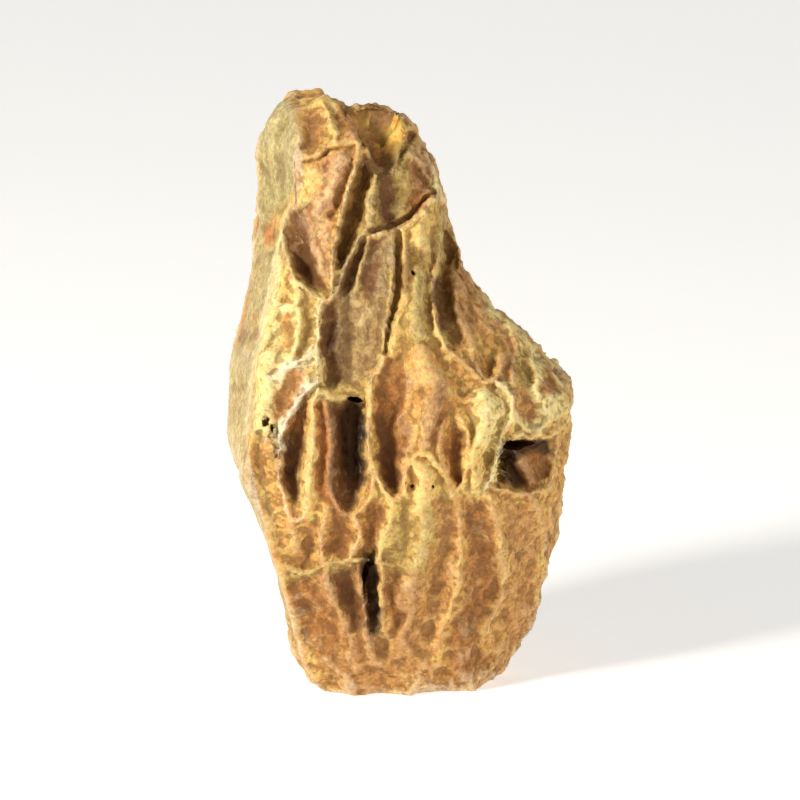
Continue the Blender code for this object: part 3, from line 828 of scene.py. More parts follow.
        (556, 284, 0), (570, 300, 0), (580, 316, 0))),
    Line(Run.VALLEY, Tint.OCHRE, 0, ((532, 288, -4), (534, 299, -7), (535, 309, -8))),
    Line(Run.RIDGE, Tint.OCHRE, 0.2, ((524, 292, -1.5), (525, 303, -1), (529, 312, 0),
        (535, 319, 1))),
    Line(Run.RIDGE, Tint.TAN, 0.1, ((536, 284, 0), (544, 288, 0.5), (548, 297, 1), (545, 307, 1),
        (540, 315, 1.5), (537, 317, 2))),
    # the rough panel over the caves
    Line(Run.RIDGE, Tint.OCHRE, 0.4, ((550, 288, 0), (552, 300, 1), (551, 312, 1), (549, 321, 1),
        (552, 332, 1))),
    Line(Run.VALLEY, Tint.OLIVE, 0, ((558, 302, -2.5), (560, 316, -3.5))),
    Line(Run.RIDGE, Tint.CREAM, 0.6, ((566, 298, 1), (567, 312, 1), (564, 324, 0.5),
        (569, 334, 0.5))),
    Line(Run.VALLEY, Tint.TAN, 0, ((557, 330, -3), (559, 338, -3))),
    Line(Run.RIDGE, Tint.CREAM, 0.5, ((551, 336, 1), (555, 345, 1), (562, 349, 1), (569, 344, 1),
        (573, 336, 1), (577, 326, 0.5))),
    Line(Run.VALLEY, Tint.TAN, 0, ((574, 308, -2), (575, 320, -2.5))),
    # the caves under it: a jagged shelf, a recess with a rib in it whose floor is painted in shade,
    # and its right wall
    Line(Run.RIDGE, Tint.STRAW, 0.3, ((547, 347, 2.5), (551, 351, 3), (555, 350, 3.5),
        (560, 353, 3), (565, 350, 3), (570, 352, 2), (576, 348, 1))),
    Line(Run.VALLEY, Tint.DARK, 0, ((549, 357, -9), (555, 358, -10), (561, 360, -9), (567, 358, -7),
        (572, 356, -4))),
    Line(Run.VALLEY, Tint.DARK, 0, ((545, 364, -13), (548, 371, -14), (552, 378, -12))),
    Line(Run.ROUND, Tint.BROWN, 0, ((556, 367, -3.5), (560, 373, -3.5), (563, 380, -3))),
    Line(Run.VALLEY, Tint.BROWN, 0, ((566, 366, -6), (569, 376, -6))),
    Line(Run.RIDGE, Tint.OCHRE, 0.3, ((576, 348, 1), (578, 358, 0.5), (577, 370, 0), (574, 383, 0),
        (563, 388, 0), (550, 387, 0), (537, 384, 1))),
    # the cream bulge, which hangs over the caves
    Line(Run.ROUND, Tint.CREAM, 0.4, ((531, 326, 5), (533, 336, 7), (532, 346, 7), (528, 356, 6))),
    Line(Run.ROUND, Tint.STRAW, 0.2, ((526, 358, 5), (524, 368, 4), (526, 380, 2))),
    Line(Run.RIDGE, Tint.CREAM, 0.9, ((537, 317, 2), (544, 321, 4), (548, 330, 5.5),
        (547.5, 340, 5.5), (543, 348, 5), (539.5, 355, 4.5), (540, 363, 4), (537, 372, 3),
        (533, 384, 1))),
    # the long lower flute, the bulge beside it, and the pitted mass under it
    Line(Run.VALLEY, Tint.BROWN, 0, ((471, 308, -5), (468, 322, -9), (467, 338, -11))),
    Line(Run.VALLEY, Tint.UMBER, 0, ((467, 338, -11), (468, 352, -11.5), (471, 366, -11),
        (475, 380, -9))),
    Line(Run.RIDGE, Tint.STRAW, 0.3, ((469, 303, -1.5), (463, 316, -1), (460, 330, 0),
        (460, 346, 0), (461, 362, 0), (465, 377, 0), (471, 387, 0), (476, 391, 0))),
    Line(Run.ROUND, Tint.TAN, 0, ((500, 322, 3.5), (500, 334, 3.5), (497, 346, 2.5),
        (493, 357, 1.5))),
    Line(Run.STAIN, Tint.OCHRE, 0, ((488, 330, 0), (489, 342, 0), (491, 352, 0))),
    Line(Run.STAIN, Tint.BROWN, 0, ((503, 318, 0), (504, 332, 0), (500, 344, 0), (498, 354, 0))),
    Line(Run.STAIN, Tint.OCHRE, 0, ((512, 312, 0), (516, 324, 0), (513, 336, 0))),
    Line(Run.STAIN, Tint.BROWN, 0, ((477, 318, 0), (479, 336, 0), (481, 350, 0), (481, 364, 0))),
    Line(Run.ROUND, Tint.OCHRE, 0, ((488, 350, 1.5), (485, 360, 0.5))),
    Line(Run.RIDGE, Tint.OCHRE, 0.3, ((484, 366, 0), (482, 378, 0), (480, 387, 0.5),
        (476, 391, 0))),
    Line(Run.VALLEY, Tint.BROWN, 0, ((513, 349, -5), (513, 361, -8), (515, 376, -7))),
    Line(Run.RIDGE, Tint.OCHRE, 0.2, ((507, 341, 1), (504, 350, 0.5), (504, 362, 0.5),
        (507, 374, 0.5), (514, 386, 0))),
    Line(Run.RIDGE, Tint.STRAW, 0.2, ((517, 340, 2.5), (521, 350, 2.5), (521, 360, 2),
        (521, 372, 1.5), (517, 384, 0.5), (514, 386, 0))),
    Line(Run.ROUND, Tint.STRAW, 0.1, ((489, 369, 3.5), (494, 377, 5), (495, 387, 4.5),
        (492, 398, 3))),
    Line(Run.RIDGE, Tint.STRAW, 0.3, ((483, 388, 1), (484, 374, 1.5), (488, 365, 2),
        (494, 363, 2.5), (501, 368, 2), (507, 378, 1.5), (513, 390, 1))),
    # the deep channel and the slot, with the columns between them; the darkest strip of the channel
    # is painted shade
    Line(Run.VALLEY, Tint.UMBER, 0, ((448, 332, -18), (448, 346, -19), (448, 360, -19),
        (448, 374, -17), (448, 384, -13), (447, 391, -9))),
    Line(Run.STAIN, Tint.DARK, 0, ((451, 334, 0), (453, 350, 0), (452, 366, 0), (451, 378, 0))),
    Line(Run.STAIN, Tint.UMBER, 0, ((440, 334, 0), (440, 350, 0), (440, 370, 0), (442, 386, 0))),
    Line(Run.RIDGE, Tint.BROWN, 0, ((432, 328, -1), (434, 342, -1), (435, 358, -1), (435, 374, -1),
        (437, 388, -1), (441, 397, -1), (448, 402, -1))),
    Line(Run.RIDGE, Tint.OCHRE, 0.2, ((459, 327, -2), (458.5, 342, 0), (459, 356, 0), (462, 372, 0),
        (461, 386, 0), (456, 397, -0.5), (448, 402, -1))),
    Line(Run.VALLEY, Tint.RUST, 0, ((430, 334, -3), (430, 350, -4), (430, 368, -4),
        (431, 384, -3))),
    Line(Run.ROUND, Tint.STRAW, 0.5, ((429, 322, 1.5), (426, 332, 1.5), (425, 350, 1.5),
        (424, 368, 1.5), (422, 386, 1), (420, 402, 0.5))),
    Line(Run.VALLEY, Tint.BROWN, 0, ((420, 328, -4), (416, 340, -7), (413, 350, -9))),
    Line(Run.VALLEY, Tint.UMBER, 0, ((413, 350, -10), (411, 362, -10), (411, 376, -9),
        (413, 388, -5))),
    Line(Run.RIDGE, Tint.WHITE, 1, ((427, 318, 2), (419, 326, 2), (411, 338, 2), (406, 350, 2),
        (404, 362, 1.5))),
    Line(Run.RIDGE, Tint.OCHRE, 0.7, ((404, 362, 1.5), (404, 378, 1), (407, 392, 1),
        (412, 404, 0.5), (420, 402, 0.5))),
    # the folds over the foot, and the rim under them
    Line(Run.VALLEY, Tint.TAN, 0, ((424, 408, -3), (421, 420, -5), (420, 432, -4))),
    Line(Run.RIDGE, Tint.OCHRE, 0.4, ((433, 396, 0.5), (431, 410, 1), (429, 422, 1),
        (430, 433, 1))),
    Line(Run.VALLEY, Tint.BROWN, 0, ((438, 406, -3), (443, 413, -5), (441, 422, -5))),
    Line(Run.RIDGE, Tint.OCHRE, 0.4, ((450, 403, 0.5), (454, 411, 1.5), (451, 420, 1.5),
        (447, 429, 1))),
    Line(Run.VALLEY, Tint.BROWN, 0, ((463, 396, -3), (461, 408, -5), (458, 419, -5))),
    Line(Run.RIDGE, Tint.STRAW, 0.3, ((474, 393, 1), (473, 406, 1.5), (469, 418, 1.5),
        (466, 430, 1))),
    Line(Run.VALLEY, Tint.OLIVE, 0, ((484, 396, -2), (483, 410, -4), (478, 422, -3))),
    Line(Run.ROUND, Tint.OLIVE, 0.2, ((497, 400, 1), (494, 414, 1), (490, 426, 1), (487, 440, 1))),
    Line(Run.VALLEY, Tint.TAN, 0, ((507, 396, -2), (508, 412, -4), (505, 432, -5), (500, 456, -6),
        (493, 482, -3))),
    Line(Run.RIDGE, Tint.OLIVE, 0.1, ((408, 434, 0), (420, 437, 1), (430, 433, 1.5), (439, 431, 1),
        (447, 429, 1), (457, 428, 1), (466, 430, 1.5), (473, 434, 1))),
    # the foot: one gap painted in shade, broad faces and a few long uneven flutes
    Line(Run.VALLEY, Tint.BROWN, 0, ((417, 446, -4), (424, 462, -5), (432, 478, -3))),
    Line(Run.RIDGE, Tint.TAN, 0.2, ((430, 436, 0.5), (434, 448, 0.5), (443, 466, 0),
        (450, 486, 0))),
    Line(Run.VALLEY, Tint.UMBER, 0, ((443, 438, -6), (448, 452, -7), (453, 468, -4))),
    Line(Run.VALLEY, Tint.DARK, 0, ((459, 430, -13), (461, 443, -16), (461, 457, -12),
        (463, 472, -5))),
    Line(Run.RIDGE, Tint.TAN, 0.2, ((452, 429, 1), (454, 444, 0), (457, 460, 0), (459, 478, 0),
        (462, 496, 0))),
    Line(Run.RIDGE, Tint.OCHRE, 0.3, ((468, 431, 1.5), (468, 444, 1), (467, 458, 0.5),
        (470, 474, 0))),
    Line(Run.VALLEY, Tint.BROWN, 0, ((475, 444, -2.5), (474, 454, -4), (477, 468, -3))),
    Line(Run.ROUND, Tint.TAN, 0.1, ((487, 440, 1), (486, 456, 1.5), (484, 472, 1), (478, 490, 0))),
    Line(Run.RIDGE, Tint.OCHRE, 0.2, ((514, 388, 0.5), (517, 406, 0.5), (517, 426, 1),
        (515, 448, 1.5), (509, 468, 1), (502, 488, 0))),
    Line(Run.VALLEY, Tint.BROWN, 0, ((523, 400, -3), (528, 420, -5), (530, 444, -6), (526, 466, -5),
        (518, 486, -3))),
    Line(Run.RIDGE, Tint.OCHRE, 0.3, ((534, 388, 0.5), (540, 406, 1), (544, 426, 1), (545, 446, 1),
        (540, 464, 0.5), (531, 482, 0))),
    Line(Run.VALLEY, Tint.TAN, 0, ((553, 402, -3), (558, 424, -4), (558, 446, -4), (550, 470, -2))),
    Line(Run.RIDGE, Tint.OCHRE, 0.3, ((562, 390, 0.5), (570, 410, 0.5), (572, 432, 0.5),
        (566, 456, 0))),
)
LEFT_OUTLINE: tuple[Point, ...] = (
    (418, 134), (409, 136), (401, 143), (393, 155), (388.5, 165), (388, 176), (389.5, 190),
    (388, 206), (385.5, 222), (385, 242), (382, 260), (376.5, 278), (372, 296), (370, 312),
    (370.5, 330), (372.5, 348),
)
RIGHT_OUTLINE: tuple[Point, ...] = (
    (480, 144), (488, 151), (496, 167), (502, 182), (507, 198), (511, 214), (516, 232), (522, 246),
    (530, 258), (541, 269), (554, 280), (567, 292), (579, 304), (587, 314), (589, 325), (588, 342),
    (586, 360), (583, 376),
)
TOP_OUTLINE: tuple[Point, ...] = (
    (396, 149), (401, 143), (409, 136.5), (418, 133.5), (428, 133.5), (436, 137), (441, 142.5),
    (446, 144), (455, 143), (465, 142.5), (474, 144), (482, 147.5), (488, 152), (493, 160),
)


@dataclass
class Relief:
    """A face of the stone: lines drawn on its view, and the surface that runs between them.

    Between a crest and a floor the surface falls as a smooth curve, steepest at a sharp crest.
    The drawing counts its own units, from its top left corner. It is made for the front; the
    back, which isn't known, takes it upside down, wider and shallower.

    Attributes:
        side: The side that is pressed.
        stretch: How much wider the drawing is laid than it was drawn.
        height_share: Share of the drawn heights that is pressed.
        flank_edge: The crest that parts the smooth left flank from the drawn face.
        lines: All other lines.
        left_outline: The left side of the whole stone, and so on for the right and the top.
        band: Height of the slices that the outlines are compared in, in mm.
        fade: How far the drawing in of the sides takes to reach its full strength, in mm.
        top_fade: The same for the top.
        top_reach: How deep the drawing in of the top goes down, in mm.
        unit: Length of the drawing's unit in mm.
        middle: The place of the drawing that lies over the stone's origin.
        turned: Where that place lies when the drawing is upside down on the back, in mm.
        close_step: Spacing of the points that tell how far off the nearest line is, in mm.
        wide_step: Spacing of the points that heights and tints are blended from, in mm.
        neighbours: How many of those are blended.
        crack_slope: How steep the walls of cracks are.
        crack_floor: Half the width of their floors, in mm.
        faces: How far the block must turn to the view to be pressed, as a cosine.
        past_edge: How far past the flank's edge the drawn face is complete, in mm.
        far_off: Distance from every line at which their pull ends, in mm.
        wander: Sizes and reaches of the noise that bends the lines, in mm.
        brush: The same for the tints.
        height_blur: How softly heights are blended, in square mm.
        tint_blur: The same for tints.
        grit_blur: The same for grit.
        thin_paint: Weight of a sharp crest's tint against that of other lines.
        drawn_grit: Grit in unworn and in worn places.
        grit_gain: How fast wear brings grit up.
        worn_width: How far pale wear reaches from a crest, in mm.
        crack_width: How far the painted shade of a crack reaches, in mm.
    """

    side: Side = Side.FRONT
    stretch: float = 1.0
    height_share: float = 1.0
    flank_edge: tuple[Line, ...] = FLANK_EDGE
    lines: tuple[Line, ...] = LINES
    left_outline: tuple[Point, ...] = LEFT_OUTLINE
    right_outline: tuple[Point, ...] = RIGHT_OUTLINE
    top_outline: tuple[Point, ...] = TOP_OUTLINE
    band: float = 2.5
    fade: float = 18.0
    top_fade: float = 5.0
    top_reach: float = 32.0
    unit: float = 0.66
    middle: Point = (480.0, 505.0)
    turned: Point = (-8.0, 248.0)
    close_step: float = 0.4
    wide_step: float = 1.5
    neighbours: int = 14
    crack_slope: float = 4.0
    crack_floor: float = 0.4
    faces: Range = (0.06, 0.30)
    past_edge: Range = (0.0, 0.6)
    far_off: Range = (9.0, 16.0)
    wander: tuple[Range, ...] = ((11.0, 1.1), (4.0, 0.6), (1.8, 0.3))
    brush: tuple[Range, ...] = ((12.0, 2.6), (4.0, 1.6), (1.6, 0.8))
    height_blur: float = 0.5
    tint_blur: float = 0.4
    grit_blur: float = 2.0
    thin_paint: float = 0.12
    drawn_grit: Range = (0.22, 1.0)
    grit_gain: float = 1.6
    worn_width: Range = (0.0, 1.1)
    crack_width: Range = (0.1, 0.9)

    def spot(self, x: float, y: float) -> Point:
        """A place of the drawing as mm across and up from the stone's origin."""
        return (x - self.middle[0]) * self.unit, (self.middle[1] - y) * self.unit

    def trace(self, line: Line, step: float) -> list[tuple[float, float, float]]:
        """Points along a line on a smooth curve through its drawn points, in mm.

        Args:
            line: The drawn line.
            step: How far apart they are, in mm.

        Returns:
            For each, its place across and up as the front is looked at, and how far out it is.
        """
        drawn = [Vector((*self.spot(x, y), out)) for x, y, out in line.points]
        found = [tuple(drawn[0])]
        ends = [drawn[0] * 2 - drawn[1], *drawn, drawn[-1] * 2 - drawn[-2]]
        for a, b, c, d in zip(ends, ends[1:], ends[2:], ends[3:]):
            count = max(1, math.ceil((c - b).xy.length / step))
            for i in range(1, count + 1):
                s = i / count
                bent = 2 * b + (c - a) * s + (2 * a - 5 * b + 4 * c - d) * s**2
                found.append(tuple((bent + (3 * b - a - 3 * c + d) * s**3) / 2))
        return found

    def place(self, survey: "Survey", shifts: tuple[Range, ...]) -> np.ndarray:
        """Where each vertex lies on the drawing, in mm across and up, with a little wander."""
        right, top, _ = (np.array(axis) for axis in self.side.axes())
        spots = np.stack((survey.places @ right, survey.places @ top), axis=1) / MM
        if self.side is Side.BACK:
            spots = np.array(self.turned) - spots * np.array((1.0 / self.stretch, 1.0))
        moved = spots.copy()
        for size, far in shifts:
            for i, (across, up) in enumerate(spots):
                drift = noise.noise_vector((across / size, up / size, size))
                moved[i] += (drift.x * far, drift.y * far)
        return moved

    def cover(self, survey: "Survey") -> np.ndarray:
        """How far each vertex belongs to the drawn face."""
        right, top, inward = (np.array(axis) for axis in self.side.axes())
        drawn = ramp(-(survey.facing @ inward), self.faces)
        if self.side is Side.BACK:
            return drawn * (1.0 - survey.flank())
        across, up = survey.places @ right / MM, survey.places @ top / MM
        edge = sorted((y, x) for line in self.flank_edge for x, y, _ in self.trace(line, 1.0))
        start = np.interp(up, [y for y, _ in edge], [x for _, x in edge])
        return drawn * np.maximum(ramp(across - start, self.past_edge), survey.flank())

    def covered(self, survey: "Survey") -> tuple[np.ndarray, np.ndarray, "Survey"]:
        """How far each vertex belongs to the face, which ones do, and the survey of those."""
        cover = self.cover(survey)
        chosen = np.flatnonzero(cover > 0.0)
        return cover, chosen, survey.part(chosen)

    def near(
        self, spots: np.ndarray, marks: np.ndarray, count: int
    ) -> tuple[np.ndarray, np.ndarray]:
        """The marks next to each spot.

        Args:
            spots: Places across and up, one row each.
            marks: Places across and up of the marks.
            count: How many marks are wanted for each spot.

        Returns:
            Their distances and their numbers, one row for each spot.
        """
        tree = KDTree(len(marks))
        for i, (across, up) in enumerate(marks[:, :2]):
            tree.insert((across, up, 0.0), i)
        tree.balance()
        found = [tree.find_n((across, up, 0.0), count) for across, up in spots]
        far = np.array([[hit[2] for hit in row] for row in found])
        return far, np.array([[hit[1] for hit in row] for row in found])

    def marks(self, runs: tuple[Run, ...], step: float) -> np.ndarray:
        """Points along lines: across, up, out, whether rounded, wear, tint and whether sharp."""
        rows = []
        for line in (*self.flank_edge, *self.lines):
            if line.run in runs:
                own = (line.run is Run.ROUND, line.worn, *line.tint.linear(), line.run is Run.RIDGE)
                rows += [(*point, *own) for point in self.trace(line, step)]
        return np.array(rows, dtype=float)

    def heights(self, spots: np.ndarray) -> np.ndarray:
        """How far the surface stands out at each spot, in mm."""
        crests, floors = (Run.RIDGE, Run.ROUND), (Run.VALLEY,)
        levels = []
        for runs in (crests, floors):
            nearest = self.near(spots, self.marks(runs, self.close_step), 1)[0][:, 0]
            marks = self.marks(runs, self.wide_step)
            far, index = self.near(spots, marks, self.neighbours)
            share = shared_out(1.0 / (far**2 + self.height_blur) ** 2)
            levels.append((nearest, (marks[index, 2] * share).sum(axis=1)))
            if runs is crests:
                rounded = (marks[index, 3] * share).sum(axis=1)
        (to_crest, crest), (to_floor, floor) = levels
        way = to_crest / (to_crest + to_floor + LEAST_GAP)
        sharp, soft = np.sin(way * math.pi / 2), way**2 * (3.0 - 2.0 * way)
        height = crest + (floor - crest) * (sharp + (soft - sharp) * rounded)
        height *= 1.0 - ramp(np.minimum(to_crest, to_floor), self.far_off)
        cracks = self.marks((Run.CRACK,), self.close_step)
        far, index = self.near(spots, cracks, 1)
        wall = np.maximum(far[:, 0] - self.crack_floor, 0.0) * self.crack_slope
        return np.minimum(height, cracks[index[:, 0], 2] + wall)

    def pull(
        self, along: np.ndarray, out: np.ndarray, outline: list[Point], fades: Range
    ) -> tuple[np.ndarray, np.ndarray]:
        """How far a drawn outline pulls the stone outward, slice by slice.

        Args:
            along: Where each vertex lies along the outline, in mm.
            out: How far out it lies, in mm.
            outline: The same two values of the outline's points, from its start to its end.
            fades: Over what lengths the pull grows at the start and fades at the end, in mm.

        Returns:
            For each vertex, the pull, and how far out the stone reaches in its slice.
        """
        band = ((along - along.min()) / self.band).astype(int)
        levels = along.min() + (np.arange(band.max() + 1) + 0.5) * self.band
        reach = np.full(len(levels), -np.inf)
        np.maximum.at(reach, band, out)
        start, end = outline[0][0], outline[-1][0]
        shown = ramp(levels, (start, start + fades[0]))
        shown *= 1.0 - ramp(levels, (end - fades[1], end))
        wanted = np.interp(levels, *zip(*outline))
        pulled = np.interp(along, levels, (wanted - reach) * shown)
        return pulled, np.interp(along, levels, reach)

    def trim(self, stone: Shape) -> None:
        """Draw the stone's two sides in or out to the outline of the drawing."""
        right, top, _ = (np.array(axis) for axis in Side.FRONT.axes())
        places = coordinates(stone)
        across, up = places @ right / MM, places @ top / MM
        for way, outline in ((-1.0, self.left_outline), (1.0, self.right_outline)):
            spots = (self.spot(x, y) for x, y in outline)
            drawn = sorted((high, way * far) for far, high in spots)
            pulled, reach = self.pull(up, way * across, drawn, (self.fade, self.band))
            outer = ramp(way * across, (0.0, 1.0))
            share = np.clip(way * across / reach, 0.0, 1.0) ** 2
            across += way * pulled * outer * share
        places += right[None, :] * (across * MM - places @ right)[:, None]
        move_to(stone, places)

    def trim_top(self, stone: Shape) -> None:
        """Draw the stone's top up or down to the outline of the drawing."""
        right, top, _ = (np.array(axis) for axis in Side.FRONT.axes())
        places = coordinates(stone)
        across, up = places @ right / MM, places @ top / MM
        drawn = [self.spot(x, y) for x, y in self.top_outline]
        pulled, reach = self.pull(across, up, drawn, (self.top_fade, self.top_fade))
        pulled *= np.clip(1.0 - (reach - up) / self.top_reach, 0.0, 1.0) ** 2
        places += top[None, :] * (pulled * MM)[:, None]
        move_to(stone, places)

    def press(self, stone: Shape, tree: BVHTree) -> None:
        """Press the drawn face into the stone, straight along the line of sight."""
        survey = Survey.of(stone, tree)
        cover, chosen, part = self.covered(survey)
        height = self.heights(self.place(part, self.wander)) * cover[chosen] * self.height_share
        inward = np.array(self.side.axes()[2])
        survey.places[chosen] -= inward[None, :] * height[:, None] * MM
        move_to(stone, survey.places)

    def grit(self, survey: "Survey", grit: np.ndarray) -> None:
        """Set how rough each drawn vertex is: smooth in the bowls, crumbly on worn crests."""
        cover, chosen, part = self.covered(survey)
        marks = self.marks((Run.RIDGE, Run.ROUND, Run.VALLEY), self.wide_step)
        far, index = self.near(self.place(part, self.brush), marks, self.neighbours)
        share = shared_out(1.0 / (far**2 + self.grit_blur))
        worn = (marks[index, 4] * share).sum(axis=1)
        drawn = between(self.drawn_grit, np.clip(worn * self.grit_gain, 0.0, 1.0))
        grit[chosen] += (drawn - grit[chosen]) * cover[chosen]

    def paint(self, stone: Shape, survey: "Survey") -> None:
        """Keep the drawing's tints, its worn crests and its cracks on the finished mesh."""
        cover, chosen, part = self.covered(survey)
        marks = self.marks((Run.RIDGE, Run.ROUND, Run.VALLEY, Run.STAIN), self.wide_step)
        far, index = self.near(self.place(part, self.brush), marks, self.neighbours)
        thin = np.array([self.thin_paint if sharp else 1.0 for sharp in marks[:, 8]])
        share = shared_out(thin[index] / (far**2 + self.tint_blur) ** 2)
        layer = stone.data.attributes.get("paint")
        layer = layer or stone.data.attributes.new("paint", "FLOAT_COLOR", "POINT")
        paint = np.ones(len(cover) * 4, dtype=np.float32)
        layer.data.foreach_get("color", paint)
        paint = paint.reshape(-1, 4)
        paint[chosen, :3] = np.einsum("ij,ijk->ik", share, marks[index, 5:8])
        layer.data.foreach_set("color", paint.ravel())
        near_line = 1.0 - ramp(far.min(axis=1), self.far_off)
        spots = self.place(part, self.wander)
        crests = self.marks((Run.RIDGE, Run.ROUND), self.close_step)
        far, index = self.near(spots, crests, 1)
        worn = crests[index[:, 0], 4] * (1.0 - ramp(far[:, 0], self.worn_width))
        # crack: how near each vertex lies to a crack line; the finish paints shade there
        to_crack = self.near(spots, self.marks((Run.CRACK,), self.close_step), 1)[0][:, 0]
        crack = 1.0 - ramp(to_crack, self.crack_width)
        found = {"painted": near_line * cover[chosen], "worn": worn, "crack": crack}
        for name, values in found.items():
            spread = kept(stone, name)
            spread[chosen] = values
            keep(stone, name, spread)


def shared_out(weights: np.ndarray) -> np.ndarray:
    """Weights brought to a sum of one in each row."""
    return weights / weights.sum(axis=1, keepdims=True)


def keep(stone: Shape, name: str, values: np.ndarray) -> None:
    """Store one value for each vertex of a stone."""
    layer = stone.data.attributes.get(name) or stone.data.attributes.new(name, "FLOAT", "POINT")
    layer.data.foreach_set("value", values.astype(np.float32))


def kept(stone: Shape, name: str) -> np.ndarray:
    """The values that are stored for a stone's vertices, or zeros if there are none yet."""
    values = np.zeros(len(stone.data.vertices), dtype=np.float32)
    layer = stone.data.attributes.get(name)
    if layer:
        layer.data.foreach_get("value", values)
    return values


@dataclass
class Survey:
    """What is known of each vertex of the stone, against the block that it was cut from."""

    places: np.ndarray
    facing: np.ndarray
    depth: np.ndarray

    flank_facing: tuple[float, float, float] = (-0.90, -0.40, 0.15)
    flank_near: Range = (0.66, 0.86)
    flank_up: Range = (0.0, 70.0)
    front_near: Range = (0.3, 0.8)
    front_up: Range = (45.0, 75.0)
    flank_spared: float = 0.95
    front_spared: float = 0.8

    @classmethod
    def of(cls, stone: Shape, tree: BVHTree) -> "Survey":
        """Look up the block's surface nearest to each vertex."""
        places = coordinates(stone)
        facing = np.empty_like(places)
        depth = np.empty(len(places))
        for i, place in enumerate(places):
            spot = Vector(place)
            point, normal, _, _ = tree.find_nearest(spot)
            facing[i] = normal
            depth[i] = (point - spot).dot(normal) / MM
        return cls(places, facing, depth)

    def part(self, chosen: np.ndarray) -> "Survey":
        """The survey of some of the vertices alone."""
        return Survey(self.places[chosen], self.facing[chosen], self.depth[chosen])

    def flank(self) -> np.ndarray:
        """How far each vertex belongs to the smooth left flank."""
        way = np.array(Vector(self.flank_facing).normalized())
        turned = ramp(self.facing @ way, self.flank_near)
        return turned * ramp(self.places[:, 2] / MM, self.flank_up)

    def front(self) -> np.ndarray:
        """How far each vertex belongs to the front above the foot."""
        looks = ramp(-self.facing[:, 1], self.front_near)
        return looks * ramp(self.places[:, 2] / MM, self.front_up)

    def worn(self) -> np.ndarray:
        """How strongly the pattern of scallops shows."""
        return (1.0 - self.flank_spared * self.flank()) * (1.0 - self.front_spared * self.front())


def weigh(obj: Shape, name: str, weights: np.ndarray) -> str:
    """Give an object a vertex group, and return its name."""
    group = obj.vertex_groups.get(name) or obj.vertex_groups.new(name=name)
    for index, weight in enumerate(weights.tolist()):
        group.add([index], weight, "REPLACE")
    return name


def smoothed(obj: Shape, rounds: tuple[int, ...]) -> list[np.ndarray]:
    """Where an object's vertices would lie after each number of rounds of smoothing."""
    ends = np.empty(len(obj.data.edges) * 2, dtype=np.int64)
    obj.data.edges.foreach_get("vertices", ends)
    ends = ends.reshape(-1, 2)
    here = np.concatenate((ends[:, 0], ends[:, 1]))
    there = np.concatenate((ends[:, 1], ends[:, 0]))
    soft = coordinates(obj)
    count = len(soft)
    links = np.maximum(np.bincount(here, minlength=count), 1)
    found = []
    for step in range(1, max(rounds) + 1):
        sums = [np.bincount(here, soft[there, axis], count) for axis in range(3)]
        soft = np.stack(sums, axis=1) / links[:, None]
        if step in rounds:
            found.append(soft)
    return found


def sharpen(obj: Shape, rounds: int, shares: np.ndarray) -> None:
    """Draw crests out and folds in, by a share of what rounds of smoothing would take off."""
    places = coordinates(obj)
    soft = smoothed(obj, (rounds,))[0]
    places += (places - soft) * shares[:, None]
    move_to(obj, places)


@dataclass
class ShapeMasks:
    """The masks that the stone's colours follow, kept on its mesh as named values: wear, stain, and
    where painted shade and painted highlight go.
    """

    rounds: tuple[int, int, int] = (3, 14, 60)
    full: tuple[float, float, float] = (0.25, 0.9, 3.0)
    deepest: float = 16.0

    def record(self, stone: Shape, survey: Survey) -> None:
        """Work out the masks of a stone and keep them on its mesh."""
        keep(stone, "flank", survey.flank())
        keep(stone, "depth", np.clip(survey.depth / self.deepest, 0.0, 1.0))
        for name, bulge in zip(("edge", "fold", "form"), self.bulges(stone)):
            keep(stone, name, bulge)

    def bulges(self, stone: Shape) -> list[np.ndarray]:
        """How far each vertex stands out over its surroundings, at three sizes, from -1 to 1."""
        places = coordinates(stone)
        normals = np.empty(len(places) * 3)
        stone.data.vertices.foreach_get("normal", normals)
        normals = normals.reshape(-1, 3)
        found = []
        for soft, full in zip(smoothed(stone, self.rounds), self.full):
            height = np.einsum("ij,ij->i", places - soft, normals) / MM
            found.append(np.clip(height / full, -1.0, 1.0))
        return found


